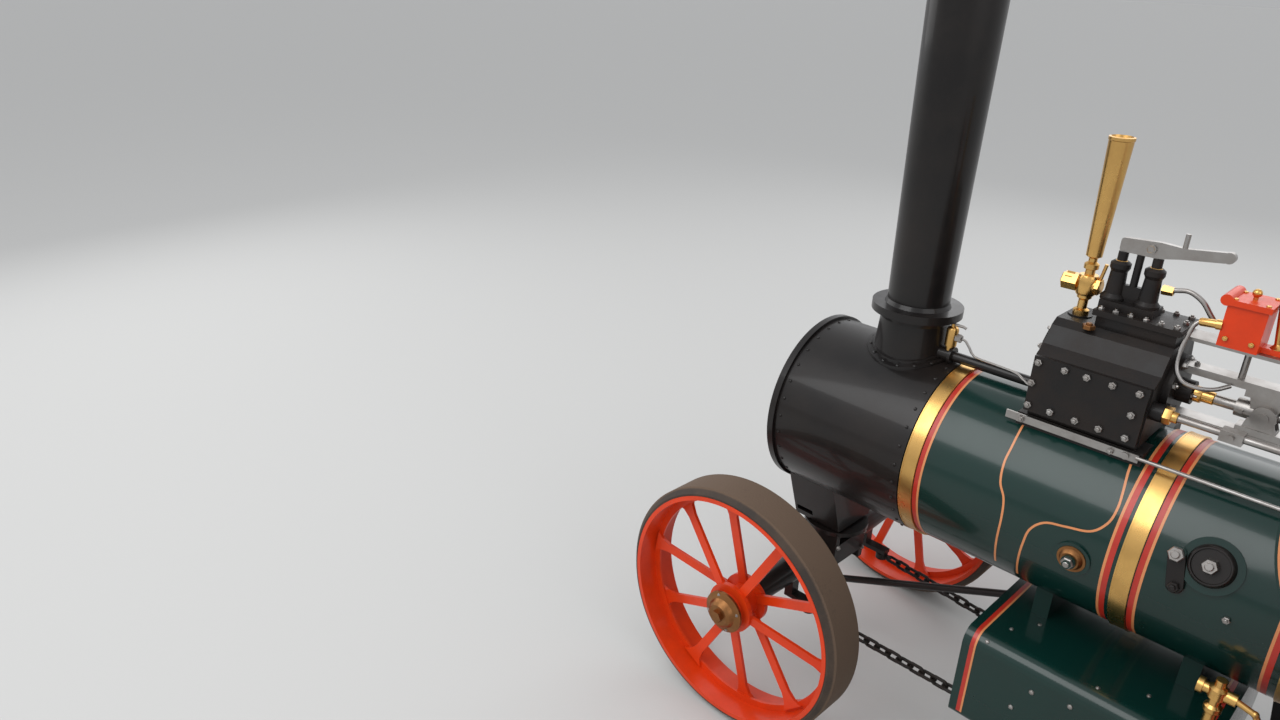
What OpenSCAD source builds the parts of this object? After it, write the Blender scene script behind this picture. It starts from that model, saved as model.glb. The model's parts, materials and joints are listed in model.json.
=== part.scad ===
// Half-size steam traction engine: single cylinder, belly tank, three shafts, chain steering.
// X points forward, Y to the engine's left and Z up, in millimetres, from the ground under its middle.

/* [Wheels] */
// Distance from the front axle to the rear axle
wheelbase = 1340; // [1300:5:1500]
// Diameter of a front wheel over its rubber
front_wheel_d = 533; // [500:1:560]
// Width of a front wheel's rim
front_wheel_w = 100; // [80:1:110]
// Width over the front wheels' outer faces
front_track = 785; // [765:5:860]
// Number of spokes in a front wheel
front_spokes = 10; // [8:2:14]
// Diameter of a rear wheel over its rubber
rear_wheel_d = 838; // [800:1:860]
// Width of a rear wheel's rim
rear_wheel_w = 200; // [160:1:220]
// Distance from the centre line to a rear wheel's inner face
rear_inner_y = 325; // [322:1:360]
// Number of spokes in a rear wheel
rear_spokes = 16; // [12:4:20]
// Thickness of the rubber on a front wheel
front_rubber = 16; // [10:1:22]
// Thickness of the rubber on a rear wheel
rear_rubber = 19; // [12:1:26]

/* [Boiler] */
// Height of the boiler's centre line above the ground
boiler_z = 606; // [604:1:612]
// Diameter of the boiler barrel over its lagging
barrel_d = 356; // [340:1:360]
// Length of the lagged barrel, from smokebox to firebox
barrel_len = 676; // [660:1:700]
// Diameter of the smokebox
smokebox_d = 364; // [350:1:368]
// Length of the smokebox
smokebox_len = 309; // [290:1:330]
// Distance from the smokebox front to the front axle
smokebox_lead = 85; // [70:1:100]
// Plate thickness of the smokebox
smokebox_wall = 8; // [5:0.5:12]
// Distance of the firebox's backhead in front of the rear axle
backhead_lead = 160; // [140:1:170]
// Height of the foundation ring above the ground
firebox_foot_z = 300; // [290:1:330]
// Radius of the smokebox door
door_r = 142; // [130:1:150]

/* [Chimney] */
// Distance of the chimney behind the front axle
chimney_back = 113; // [90:1:130]
// Height of the chimney's bolted flange above the smokebox top
chimney_flange_h = 86; // [70:1:110]
// Height of the chimney's top above the ground
chimney_top_z = 1560; // [1450:5:1700]
// Outer radius of the chimney at its foot
chimney_foot_r = 60; // [55:1:62]
// Outer radius of the chimney under its cap
chimney_head_r = 70; // [64:1:76]
// Plate thickness of the chimney
chimney_wall = 4; // [3:0.5:8]

/* [Cylinder and motion] */
// Place of the cylinder's middle along the barrel, from the smokebox, as a share of its length
cylinder_share = 0.3935; // [0.38:0.001:0.41]
// Length of the cylinder block
cylinder_len = 190; // [180:1:200]
// Slope of the motion, rising to the crankshaft, in degrees
motion_tilt = 0; // [0:0.1:1.5]
// Distance of the crankshaft behind the front axle
crank_back = 1080; // [1070:1:1090]
// Height of the crankshaft above the ground
crank_z = 868; // [866:1:880]
// Crank throw, half of the stroke
crank_throw = 46; // [38:1:48]
// Angle of the crank above the motion's line, in degrees
crank_angle = 20; // [10:1:60]
// Length of the connecting rod between centres
rod_len = 314; // [300:1:318]
// Diameter of the flywheel
flywheel_d = 530; // [500:5:540]
// Width of the flywheel's rim
flywheel_w = 68; // [50:1:72]

/* [Gears] */
// Gear module
gear_module = 9; // [8.8:0.1:9.2]
// Teeth of the pinion on the crankshaft
crank_pinion_n = 14; // [14:1:16]
// Teeth of the wheel on the second shaft
second_gear_n = 40; // [38:1:42]
// Teeth of the pinion on the second shaft
second_pinion_n = 13; // [13:1:14]
// Teeth of the final gear on the rear axle
final_gear_n = 54; // [52:1:56]
// Pressure angle of the teeth in degrees
pressure_angle = 25; // [20:1:25]
// Backlash measured along the pitch circle
backlash = 1.2; // [0.6:0.1:1.6]

/* [Belly tank] */
// Distance of the tank's front end behind the front axle
tank_back = 425; // [420:1:440]
// Gap between the tank's rear end and the firebox
tank_gap = 75; // [60:1:90]
// Width of the tank
tank_w = 460; // [420:1:480]
// Height of the tank's top above the ground
tank_top_z = 395; // [385:1:405]
// Depth of the tank
tank_h = 190; // [160:1:200]
// Radius of the tank's rolled edges
tank_edge_r = 28; // [10:1:40]

/* [Tender] */
// Width over the tender's side plates
tender_w = 400; // [380:1:430]
// Distance of the tender's back plate behind the rear axle
tender_back = 430; // [425:1:480]
// Height of the footplate above the ground
footplate_z = 330; // [325:1:350]
// Height of the tender's rim above the ground
tender_rim_z = 790; // [740:1:840]
// Thickness of the tender's plates
tender_wall = 5; // [4:0.5:8]
// Distance from the tender's back plate to the drawbar's end
drawbar_reach = 90; // [75:1:120]
// Radius of the drawbar's pin hole
drawbar_hole_r = 12; // [10:0.5:14]

/* [Steering] */
// Distance of a steering chain's lug from the centre line, on the axle
chain_lug_y = 150; // [130:1:170]
// Radius of the chain barrel
chain_barrel_r = 25; // [22:1:28]
// Distance of the chain barrel in front of the firebox
chain_barrel_lead = 7; // [0:1:15]
// Height of the chain barrel's shaft above the ground
chain_barrel_z = 150; // [140:1:155]
// Radius of the steering handwheel
handwheel_r = 92; // [80:1:105]

/* [Hidden] */
$fn = 64;
seat = 0.2;        // clearance between curved faces that seat on each other
run = 0.08;        // clearance of a shaft in its bearing
plate_t = 10;      // hornplate thickness
rear_overhang = tender_back + drawbar_reach;
front_r = front_wheel_d / 2;
rear_r = rear_wheel_d / 2;
front_x = (wheelbase + rear_overhang - front_r) / 2;
rear_x = front_x - wheelbase;
barrel_r = barrel_d / 2;
smokebox_r = smokebox_d / 2;
smokebox_front_x = front_x + smokebox_lead;
smokebox_rear_x = smokebox_front_x - smokebox_len;
throat_x = smokebox_rear_x - barrel_len;
backhead_x = rear_x + backhead_lead;
chain_barrel_x = throat_x + chain_barrel_lead;
crank_x = front_x - crank_back;
cylinder_x = smokebox_rear_x - cylinder_share * barrel_len;
cylinder_mid = (cylinder_x - crank_x) / cos(motion_tilt);   // along the motion's line
cylinder_z = crank_z - (cylinder_x - crank_x) * tan(motion_tilt);
chimney_x = front_x - chimney_back;
horn_in_y = barrel_r + seat;
horn_out_y = horn_in_y + plate_t;

// Second shaft, where both pairs of gears have their right centre distance
crank_to_second = gear_module * (crank_pinion_n + second_gear_n) / 2;
second_to_rear = gear_module * (second_pinion_n + final_gear_n) / 2;
crank_to_rear = norm([crank_x - rear_x, crank_z - rear_r]);
second_turn = acos((pow(crank_to_second, 2) + pow(crank_to_rear, 2) - pow(second_to_rear, 2))
    / (2 * crank_to_second * crank_to_rear));
second_dir = atan2(rear_r - crank_z, rear_x - crank_x) - second_turn;
second_x = crank_x + crank_to_second * cos(second_dir);
second_z = crank_z + crank_to_second * sin(second_dir);

// Planes across the engine, out from the right hornplate
second_gear_y0 = -horn_out_y - 40;
second_gear_y1 = -horn_out_y - 10;
final_gear_y0 = second_gear_y0 - 58;
final_gear_y1 = second_gear_y0 - 8;
flywheel_y0 = horn_out_y + 57;
flywheel_y1 = flywheel_y0 + flywheel_w;
front_wheel_y = (front_track - front_wheel_w) / 2;
rear_wheel_y = rear_inner_y + rear_wheel_w / 2;
steer_y = horn_out_y + 26;         // steering column's plane

lug_x = front_x - 50;      // pin of a steering chain's lug
lug_z = 180;
axle_r = 22;
rear_axle_r = 28;
second_shaft_r = 18;
front_cap_r = 45;
rear_cap_r = 50;
crank_r = 19;

// Colours
green = [0.03, 0.14, 0.09];
black = [0.07, 0.07, 0.08];
red = [0.75, 0.10, 0.05];
brass = [0.80, 0.58, 0.22];
copper = [0.72, 0.40, 0.25];
steel = [0.62, 0.62, 0.64];
rubber = [0.10, 0.09, 0.09];

// Rods and blocks given by where they start and end
module x_rod(r, x0, x1, y = 0, z = 0) {
    translate([min(x0, x1), y, z]) rotate([0, 90, 0]) cylinder(r = r, h = abs(x1 - x0));
}
module y_rod(r, y0, y1, x = 0, z = 0) {
    translate([x, min(y0, y1), z]) rotate([-90, 0, 0]) cylinder(r = r, h = abs(y1 - y0));
}
module z_rod(r, z0, z1, x = 0, y = 0) {
    translate([x, y, min(z0, z1)]) cylinder(r = r, h = abs(z1 - z0));
}
module block(x, y, z) {
    translate([x[0], y[0], z[0]]) cube([x[1] - x[0], y[1] - y[0], z[1] - z[0]]);
}
// A plate across Y whose outline is drawn in X and Z
module side_plate(y0, y1) {
    translate([0, y1, 0]) rotate([90, 0, 0]) linear_extrude(y1 - y0) children();
}
// A bar along X whose section is drawn in Y and Z
module long_bar(x0, x1) {
    translate([x0, 0, 0]) rotate([90, 0, 90]) linear_extrude(x1 - x0) children();
}
// A revolved piece whose axis lies along Y; the profile is drawn as radius and Y
module revolved_y(x, y, z) {
    translate([x, y, z]) rotate([-90, 0, 0]) rotate_extrude($fn = 96) children();
}
// A rod between two points
module rod_between(a, b, r) {
    d = b - a;
    translate(a) rotate([0, acos(d[2] / norm(d)), atan2(d[1], d[0])]) cylinder(r = r, h = norm(d));
}
// A pipe along points, with ball corners a little fatter than the pipe
module pipe(points, r) {
    for (i = [0 : len(points) - 2]) rod_between(points[i], points[i + 1], r);
    for (i = [1 : 1 : len(points) - 2]) translate(points[i]) sphere(r = r * 1.15, $fn = 24);
}
// Frame of the motion: origin at the crankshaft, +X forward along the cylinder
module on_motion() {
    translate([crank_x, 0, crank_z]) rotate([0, motion_tilt, 0]) children();
}

// An outline with its corners rounded to a radius; the corners turn anticlockwise or clockwise
function unit(v) = v / norm(v);
function rounded(pts, rad, steps = 6) = let (n = len(pts)) [for (i = [0 : n - 1])
    let (p = pts[i], a = unit(pts[(i + n - 1) % n] - p), b = unit(pts[(i + 1) % n] - p),
        half = acos(a * b) / 2, cut = rad / tan(half), mid = p + unit(a + b) * rad / sin(half),
        start = p + a * cut - mid, side = a[0] * b[1] - a[1] * b[0] > 0 ? -1 : 1)
    for (k = [0 : steps]) let (t = side * k / steps * (180 - 2 * half))
        mid + [start[0] * cos(t) - start[1] * sin(t), start[0] * sin(t) + start[1] * cos(t)]];

// Half of a tooth's angle at a radius, from the involute of its base circle
function inv_deg(a) = tan(a) * 180 / PI - a;
function half_tooth(n, r) = let (base = n * gear_module / 2 * cos(pressure_angle))
    90 / n + inv_deg(pressure_angle) - inv_deg(acos(min(1, base / max(r, base))))
    - backlash / 2 / (n * gear_module / 2) * 90 / PI;
// Outline of a gear with stub teeth, one tooth centred on the angle given
function gear_points(n, turn) = let (
    pitch = n * gear_module / 2,
    radii = [pitch - gear_module, pitch * cos(pressure_angle) + 0.5, pitch, pitch + 0.8 * gear_module],
    rs = [radii[0], max(radii[0] + 0.5, radii[1]), radii[2], radii[3]])
    [for (t = [0 : n - 1], k = [0 : 7])
        let (r = rs[k < 4 ? k : 7 - k], a = half_tooth(n, r) * (k < 4 ? -1 : 1) + turn + t * 360 / n)
        [r * cos(a), r * sin(a)]];
module gear(n, y0, y1, turn, bore) {
    side_plate(y0, y1) difference() {
        polygon(gear_points(n, turn));
        circle(r = bore);
    }
}

// A spoked wheel about its own centre, with its axis along Y and its outside at +Y.
// rings: distances of the rim's inner T rings from the middle. flange: hub flange distance.
// phase: angle of the first spoke from the top, at rest.
module spoked_wheel(r, w, rings, flange, flange_r, hub_r, hub_half, bore, spokes, bar_w, bar_t, phase) {
    hoop_t = 9;
    ring_h = 15;
    ring_t = 6;
    revolved_y(0, 0, 0) {
        translate([r - hoop_t, -w / 2]) square([hoop_t, w]);
        for (y = rings) translate([r - hoop_t - ring_h, y - ring_t / 2]) square([ring_h + 1, ring_t]);
        translate([bore, -hub_half]) square([hub_r - bore, 2 * hub_half]);
        for (s = [-1, 1]) translate([bore, s * flange - 5]) square([flange_r - bore, 10]);
    }
    foot_r = r - hoop_t - 1;
    ring_y = max(rings);
    lean = atan((flange - ring_y) / (foot_r - flange_r));
    for (i = [0 : spokes - 1]) {
        s = i % 2 == 0 ? 1 : -1;
        rotate([0, i * 360 / spokes + phase, 0])
            translate([0, s * flange, 0]) rotate([s * lean, 0, 0]) translate([0, -bar_t / 2, 0])
            side_plate(0, bar_t) polygon([[-bar_w / 2, hub_r - 2], [bar_w / 2, hub_r - 2],
                [bar_w / 2, foot_r - 1.9 * bar_w], [0.75 * bar_w, foot_r - 0.9 * bar_w],
                [1.35 * bar_w, foot_r - 4], [-1.35 * bar_w, foot_r - 4],
                [-0.75 * bar_w, foot_r - 0.9 * bar_w], [-bar_w / 2, foot_r - 1.9 * bar_w]]);
    }
}
module front_wheel(side) {
    color(red) translate([front_x, side * front_wheel_y, front_r]) rotate([0, 0, side > 0 ? 0 : 180])
        spoked_wheel(front_r - front_rubber - seat, front_wheel_w, [0], 25, 53, 34, 44,
            axle_r + run, front_spokes, 20, 7, side > 0 ? -270 / front_spokes : 180 / front_spokes);
}
module rear_wheel(side) {
    color(red) translate([rear_x, side * rear_wheel_y, rear_r]) rotate([0, 0, side > 0 ? 0 : 180])
        spoked_wheel(rear_r - rear_rubber - seat, rear_wheel_w, [-46, 46], 58, 98, 56, rear_wheel_w / 2 - 5,
            rear_axle_r + run, rear_spokes, 30, 9, 180 / rear_spokes);
}
// Solid rubber with sloping shoulders
module tyre(x, y, r, w, t) {
    color(rubber) revolved_y(x, y, r)
        polygon([[r - t, -w / 2 + 1], [r - 0.75 * t, -w / 2 + 1], [r, -w / 2 + 0.8 * t],
            [r, w / 2 - 0.8 * t], [r - 0.75 * t, w / 2 - 1], [r - t, w / 2 - 1]]);
}
// Brass cap that closes a hub, hollow over the axle's end
module hub_cap(x, y, z, side, r, out) {
    color(brass) translate([x, y, z]) rotate([0, 0, side > 0 ? 0 : 180]) {
        revolved_y(0, 0, 0) difference() {
            polygon([[0, 0], [r, 0], [r, 5], [0.72 * r, 10], [0.62 * r, out - 5], [0.5 * r, out], [0,
                out]]);
            polygon([[-1, -1], [0.55 * r, -1], [0.55 * r, out - 9], [-1, out - 9]]);
        }
        y_rod(0.3 * r, out - 1, out + 8, $fn = 6);
    }
}
module front_tyre(side) tyre(front_x, side * front_wheel_y, front_r, front_wheel_w, front_rubber);
module rear_tyre(side) tyre(rear_x, side * rear_wheel_y, rear_r, rear_wheel_w, rear_rubber);
module front_cap(side)
    hub_cap(front_x, side * (front_wheel_y + 44), front_r, side, front_cap_r, 22);
module rear_cap(side)
    hub_cap(rear_x, side * (rear_wheel_y + rear_wheel_w / 2 - 5), rear_r, side, rear_cap_r, 24);

module boiler_barrel() {
    tube_r = 9;
    tube_pitch = 34;
    color(green) difference() {
        x_rod(barrel_r, throat_x, smokebox_rear_x, 0, boiler_z);
        for (row = [-3 : 3], k = [-3 : 3]) {
            y = (k + (row % 2 == 0 ? 0 : 0.5)) * tube_pitch;
            z = row * tube_pitch * 0.87;
            if (norm([y, z]) < 0.68 * barrel_r)
                x_rod(tube_r, smokebox_rear_x - 25, smokebox_rear_x + 1, y, boiler_z + z);
        }
    }
}
band_w = 30;
mid_band_x = cylinder_x - 158;
rear_band_x = throat_x + 5;
hand_hole_x = (mid_band_x + rear_band_x + band_w - 2) / 2 + 15.5;   // between the two
module brass_bands() {
    for (x = [smokebox_rear_x - band_w, mid_band_x, rear_band_x])
        color(brass) difference() {
            x_rod(barrel_r + 3, x, x + band_w - 2, 0, boiler_z);
            x_rod(barrel_r + seat, x - 1, x + band_w, 0, boiler_z);
        }
}
// A round door or flange standing on the barrel's left or right side at a height
module on_barrel(x, z, side = 1) {
    up = asin((z - boiler_z) / barrel_r);
    translate([x, 0, boiler_z]) rotate([side > 0 ? -90 + up : 90 - up, 0, 0])
        translate([0, 0, barrel_r]) children();
}
plug_x = cylinder_x - 63;
plug_z = boiler_z - 13;
washout_dx = 47;          // washout plug on the edge of the hand-hole door
hand_hole_z = boiler_z + 67;
// A fitting on one side of the barrel, cut to the lagging's curve
module seated(x, z, side) {
    difference() {
        on_barrel(x, z, side) children();
        x_rod(barrel_r + seat, x - 80, x + 80, 0, boiler_z, $fn = 240);
    }
}
module boiler_fittings() {
    for (side = [-1, 1]) {
        color(black) seated(plug_x, plug_z, side) translate([0, 0, -8]) {
            cylinder(r = 30, h = 11);
            cylinder(r1 = 24, r2 = 15, h = 20);
        }
        color(black) seated(hand_hole_x, hand_hole_z, side) translate([0, 0, -8]) {
            cylinder(r = 44, h = 11);
            cylinder(r1 = 34, r2 = 29, h = 18);
            translate([washout_dx, 0, 0]) cylinder(r = 12, h = 18);
        }
        color(brass) {
            on_barrel(plug_x, plug_z, side) {
                z_rod(12, 11, 17);
                z_rod(8, 16, 26, $fn = 6);
            }
            on_barrel(hand_hole_x, hand_hole_z, side) {
                z_rod(9, 9, 23, $fn = 4);
                z_rod(8, 9, 19, washout_dx, 0, $fn = 4);
            }
        }
    }
}
door_z = boiler_z;
module smokebox() {
    color(black) difference() {
        union() {
            x_rod(smokebox_r, smokebox_rear_x, smokebox_front_x, 0, boiler_z);
            x_rod(smokebox_r + 6, smokebox_front_x - 14, smokebox_front_x, 0, boiler_z);
            // lug and pin for the door's hinge
            block([smokebox_front_x - 2, door_hinge_x + 8], [door_hinge_y - 8, door_hinge_y + 8],
                [door_z - strap_z + 11, door_z + strap_z - 11]);
            z_rod(hinge_pin_r, door_z - strap_z - 16, door_z + strap_z + 16, door_hinge_x, door_hinge_y);
        }
        x_rod(smokebox_r - smokebox_wall, smokebox_rear_x - 1, smokebox_front_x - 12, 0, boiler_z);
        x_rod(door_r - 12, smokebox_front_x - 13, smokebox_front_x + 1, 0, door_z);
        z_rod(chimney_foot_r - 10, boiler_z, boiler_z + smokebox_r + 5, chimney_x, 0);
    }
}
door_hinge_y = -door_r - 15;
door_hinge_x = smokebox_front_x + 18;
strap_z = 50;
hinge_pin_r = 5;
module smokebox_door() {
    color(black) {
        translate([smokebox_front_x + 0.3, 0, door_z]) rotate([0, 90, 0]) rotate_extrude($fn = 96)
            polygon([[0, 6], [door_r - 16, 0], [door_r, 0], [door_r, 8], [door_r - 14, 10],
                [0.6 * door_r, 20], [0, 25]]);
        for (z = [-strap_z, strap_z]) difference() {
            union() {
                block([door_hinge_x - 6, door_hinge_x + 6], [door_hinge_y, 0.35 * door_r],
                    [door_z + z - 8, door_z + z + 8]);
                z_rod(10, door_z + z - 10, door_z + z + 10, door_hinge_x, door_hinge_y);
            }
            z_rod(hinge_pin_r + run, door_z + z - 11, door_z + z + 11, door_hinge_x, door_hinge_y);
        }
    }
    color(steel) {
        x_rod(15, smokebox_front_x + 24, smokebox_front_x + 40, 0, door_z);
        x_rod(10, smokebox_front_x + 38, smokebox_front_x + 58, 0, door_z);
        rod_between([smokebox_front_x + 45, 0, door_z], [smokebox_front_x + 48, 55, door_z - 45], 5);
        rod_between([smokebox_front_x + 54, 0, door_z], [smokebox_front_x + 57, -20, door_z - 68], 5);
    }
}
flange_z = boiler_z + smokebox_r + chimney_flange_h;
flange_t = 8;
base_r = chimney_foot_r + 8;     // the cast base's column, just under its flange
exhaust_r = 10;
exhaust_y = 8;
exhaust_z = boiler_z + smokebox_r + 12;
exhaust_socket_x = chimney_x - base_r - 28;
// A round flange bent to the smokebox, of a radius seen from above and a thickness
module saddle_flange(r, t) {
    intersection() {
        z_rod(r, boiler_z, flange_z - 30, chimney_x, 0);
        x_rod(smokebox_r + t, chimney_x - r - 1, chimney_x + r + 1, 0, boiler_z);
    }
}
module chimney_base() {
    bore = chimney_foot_r - 8;
    foot_z = -chimney_flange_h - 26;
    color(black) difference() {
        union() {
            translate([chimney_x, 0, flange_z]) rotate_extrude()
                polygon([[0, foot_z], [base_r + 4, foot_z], [base_r + 4, -chimney_flange_h],
                    [base_r, -flange_t - 14], [base_r + 2, -flange_t - 5], [base_r + 8, -flange_t],
                    [chimney_foot_r + 28, -flange_t], [chimney_foot_r + 28, 0], [0, 0]]);
            saddle_flange(base_r + 18, 5);
            saddle_flange(base_r + 9, 10);
            // socket of the exhaust pipe
            x_rod(14, exhaust_socket_x, chimney_x - 60, exhaust_y, exhaust_z);
            x_rod(18, exhaust_socket_x, exhaust_socket_x + 6, exhaust_y, exhaust_z);
        }
        z_rod(bore, boiler_z, flange_z + 1, chimney_x, 0);
        x_rod(smokebox_r + seat, smokebox_rear_x - 50, smokebox_front_x, 0, boiler_z);
    }
}
cap_h = 70;
module chimney() {
    h = chimney_top_z - cap_h - flange_z;
    color(black) translate([chimney_x, 0, flange_z]) rotate_extrude()
        polygon([[chimney_foot_r - chimney_wall, 0], [chimney_foot_r + 28, 0],
            [chimney_foot_r + 28, flange_t], [chimney_foot_r + 4, flange_t],
            [chimney_foot_r, flange_t + 8], [chimney_head_r, h],
            [chimney_head_r - chimney_wall, h]]);
}
module chimney_cap() {
    r = chimney_head_r;
    color(copper) translate([chimney_x, 0, chimney_top_z - cap_h]) rotate_extrude()
        polygon([[r - chimney_wall, 0], [r + 6, 0], [r + 8, 5], [r + 6, 10], [r + 2, 14], [r + 3, 28],
            [r + 8, 42], [r + 17, 52], [r + 20, 56], [r + 20, 61], [r + 14, 66], [r + 4, cap_h],
            [r - chimney_wall, cap_h]]);
}
perch_y = 60;
perch_z = front_r + 68;          // underside, where the axle's fork turns
module perch_bracket() {
    top_z = boiler_z - 0.8 * smokebox_r;
    color(black) difference() {
        long_bar(front_x - 46, front_x + 70)
            polygon([[-perch_y, perch_z], [perch_y, perch_z], [perch_y + 46, top_z], [-perch_y - 46,
                top_z]]);
        x_rod(smokebox_r + seat, smokebox_rear_x, smokebox_front_x, 0, boiler_z);
        z_rod(14 + run, perch_z - 1, perch_z + 60, front_x, 0);
        for (s = [-1, 1]) block([front_x + 22, front_x + 64], [s * 45 - 25, s * 45 + 25],
            [perch_z + 14, perch_z + 60]);
    }
}
stay_z = 160;                    // underside of the stay's eye on the king pin's foot
module perch_stay() {
    tank_x = front_x - tank_back;
    color(black) {
        difference() {
            z_rod(20, stay_z, stay_z + 14, front_x, 0);
            z_rod(10 + run, stay_z - 1, stay_z + 15, front_x, 0);
        }
        difference() {
            rod_between([front_x - 16, 0, stay_z + 8], [tank_x + 4, 0, 350], 8);
            z_rod(18, stay_z - 20, stay_z + 40, front_x, 0);
        }
        block([tank_x, tank_x + 8], [-30, 30], [334, 366]);
    }
}
module front_axle() {
    fork_top = perch_z - 5;
    fork_foot = front_r - 48;
    color(black) {
        difference() {
            union() {
                z_rod(72, fork_top - 10, fork_top, front_x, 0);
                block([front_x - 44, front_x + 44], [-perch_y, perch_y], [fork_foot, fork_top - 4]);
            }
            block([front_x - 60, front_x + 60], [-perch_y + 14, perch_y - 14], [front_r + 26,
                fork_top - 18]);
            block([front_x - 60, front_x + 60], [-perch_y + 14, perch_y - 14], [fork_foot - 1,
                front_r - 26]);
        }
        z_rod(14, fork_top - 6, perch_z + 50, front_x, 0);
        z_rod(10, stay_z - 6, fork_foot + 2, front_x, 0);
        z_rod(16, stay_z - 12, stay_z - 5.5, front_x, 0);
        z_rod(16, stay_z + 19.5, fork_foot + 2, front_x, 0);
        for (s = [-1, 1]) {
            translate([front_x, s * (perch_y - 2), front_r]) rotate([s * -90, 0, 0])
                cylinder(r1 = 32, r2 = axle_r + 5, h = front_wheel_y - 44 - 3 - perch_y);
            y_rod(axle_r, s * 20, s * (front_wheel_y + 38), front_x, front_r);
            // lug for the steering chain
            block([lug_x - 12, front_x + 10], [s * chain_lug_y - 12, s * chain_lug_y + 12], [lug_z + 8,
                lug_z + 18]);
            block([front_x - 10, front_x + 10], [s * chain_lug_y - 12, s * chain_lug_y + 12],
                [lug_z + 8, front_r - 10]);
            z_rod(6, lug_z - 10, lug_z + 10, lug_x, s * chain_lug_y);
        }
        y_rod(24, -50, 50, front_x, front_r);
    }
}
module firebox() {
    hole_z = firebox_foot_z + 190;
    color(black) difference() {
        union() {
            x_rod(barrel_r, backhead_x, throat_x, 0, boiler_z);
            block([backhead_x, throat_x], [-barrel_r, barrel_r], [firebox_foot_z, boiler_z]);
            block([backhead_x - 3, throat_x + 3], [-barrel_r, barrel_r], [firebox_foot_z - 14,
                firebox_foot_z + 22]);
        }
        x_rod(52, backhead_x - 10, backhead_x + 120, 0, hole_z);
    }
    color(black) for (s = [-1, 1])
        block([backhead_x - 22, backhead_x], [fire_hinge_y - 8, fire_hinge_y + 8],
            [hole_z + s * 23 - 6, hole_z + s * 23 + 6]);
    color(black) z_rod(hinge_pin_r, hole_z - 28, hole_z + 28, fire_hinge_x, fire_hinge_y);
}
fire_hinge_x = backhead_x - 14;
fire_hinge_y = 84;
module ash_pan() {
    z0 = firebox_foot_z - 90;
    z1 = firebox_foot_z - 14;
    color(black) difference() {
        side_plate(-barrel_r + 15, barrel_r - 15) polygon([[backhead_x + 10, z1], [backhead_x + 30, z0],
            [throat_x - 40, z0], [throat_x - 10, z0 + 50], [throat_x - 10, z1]]);
        side_plate(-barrel_r + 19, barrel_r - 19) polygon([[backhead_x + 14, z1 + 1], [backhead_x + 33,
            z0 + 4],
            [throat_x + 5, z0 + 4], [throat_x + 5, z1 + 1]]);
    }
}
horn_top_z = crank_z + 62;
module horn_outline() {
    difference() {
        union() {
            polygon(rounded([[throat_x + 4, firebox_foot_z - 12], [throat_x + 4, boiler_z + 30],
                [crank_x + 112, boiler_z + 150], [crank_x + 66, horn_top_z], [crank_x - 66, horn_top_z],
                [second_x - 70, second_z + 44], [rear_x - 76, rear_r + 130], [rear_x - 90,
                    footplate_z - 20],
                [backhead_x - 20, footplate_z - 20], [backhead_x + 10, firebox_foot_z - 12]], 18));
        }
        translate([second_x, second_z]) circle(r = second_shaft_r + 14);
        translate([rear_x, rear_r]) circle(r = rear_axle_r + 18);
        translate([crank_x, crank_z]) circle(r = crank_r + 15);
    }
}
module hornplate(side) {
    color(green) if (side > 0) side_plate(horn_in_y, horn_out_y) horn_outline();
    else side_plate(-horn_out_y, -horn_in_y) horn_outline();
}
// A flanged bearing in each hornplate, for each shaft
module flanged_bearing(x, z, r, wall, side, in, out) {
    color(brass) difference() {
        union() {
            y_rod(r + wall - seat, side * (horn_in_y - in), side * (horn_out_y + out), x, z);
            y_rod(r + wall + 10, side * (horn_out_y + 0.1), side * (horn_out_y + min(out, 7)), x, z);
        }
        y_rod(r + run, side * (horn_in_y - in - 1), side * (horn_out_y + out + 1), x, z);
    }
}
module shaft_bearings() {
    for (side = [-1, 1]) {
        flanged_bearing(crank_x, crank_z, crank_r, 15, side, 12, side > 0 ? 30 : 7);
        flanged_bearing(second_x, second_z, second_shaft_r, 14, side, 8, 7);
        flanged_bearing(rear_x, rear_r, rear_axle_r, 18, side, 10, side > 0 ? 60 : 14);
    }
}
bore_r = 48;
chest_y = 100;
cyl_x0 = cylinder_mid - cylinder_len / 2;
cyl_x1 = cylinder_mid + cylinder_len / 2;
chest_z0 = -78;         // steam chest's foot and top, from the bore's line
chest_z1 = 24;
deck_h = 78;            // top of the block above the bore's line
dome_h = 107;           // top of the regulator box
valve_y = 77;           // valve rod's line
valve_h = -20;
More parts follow.
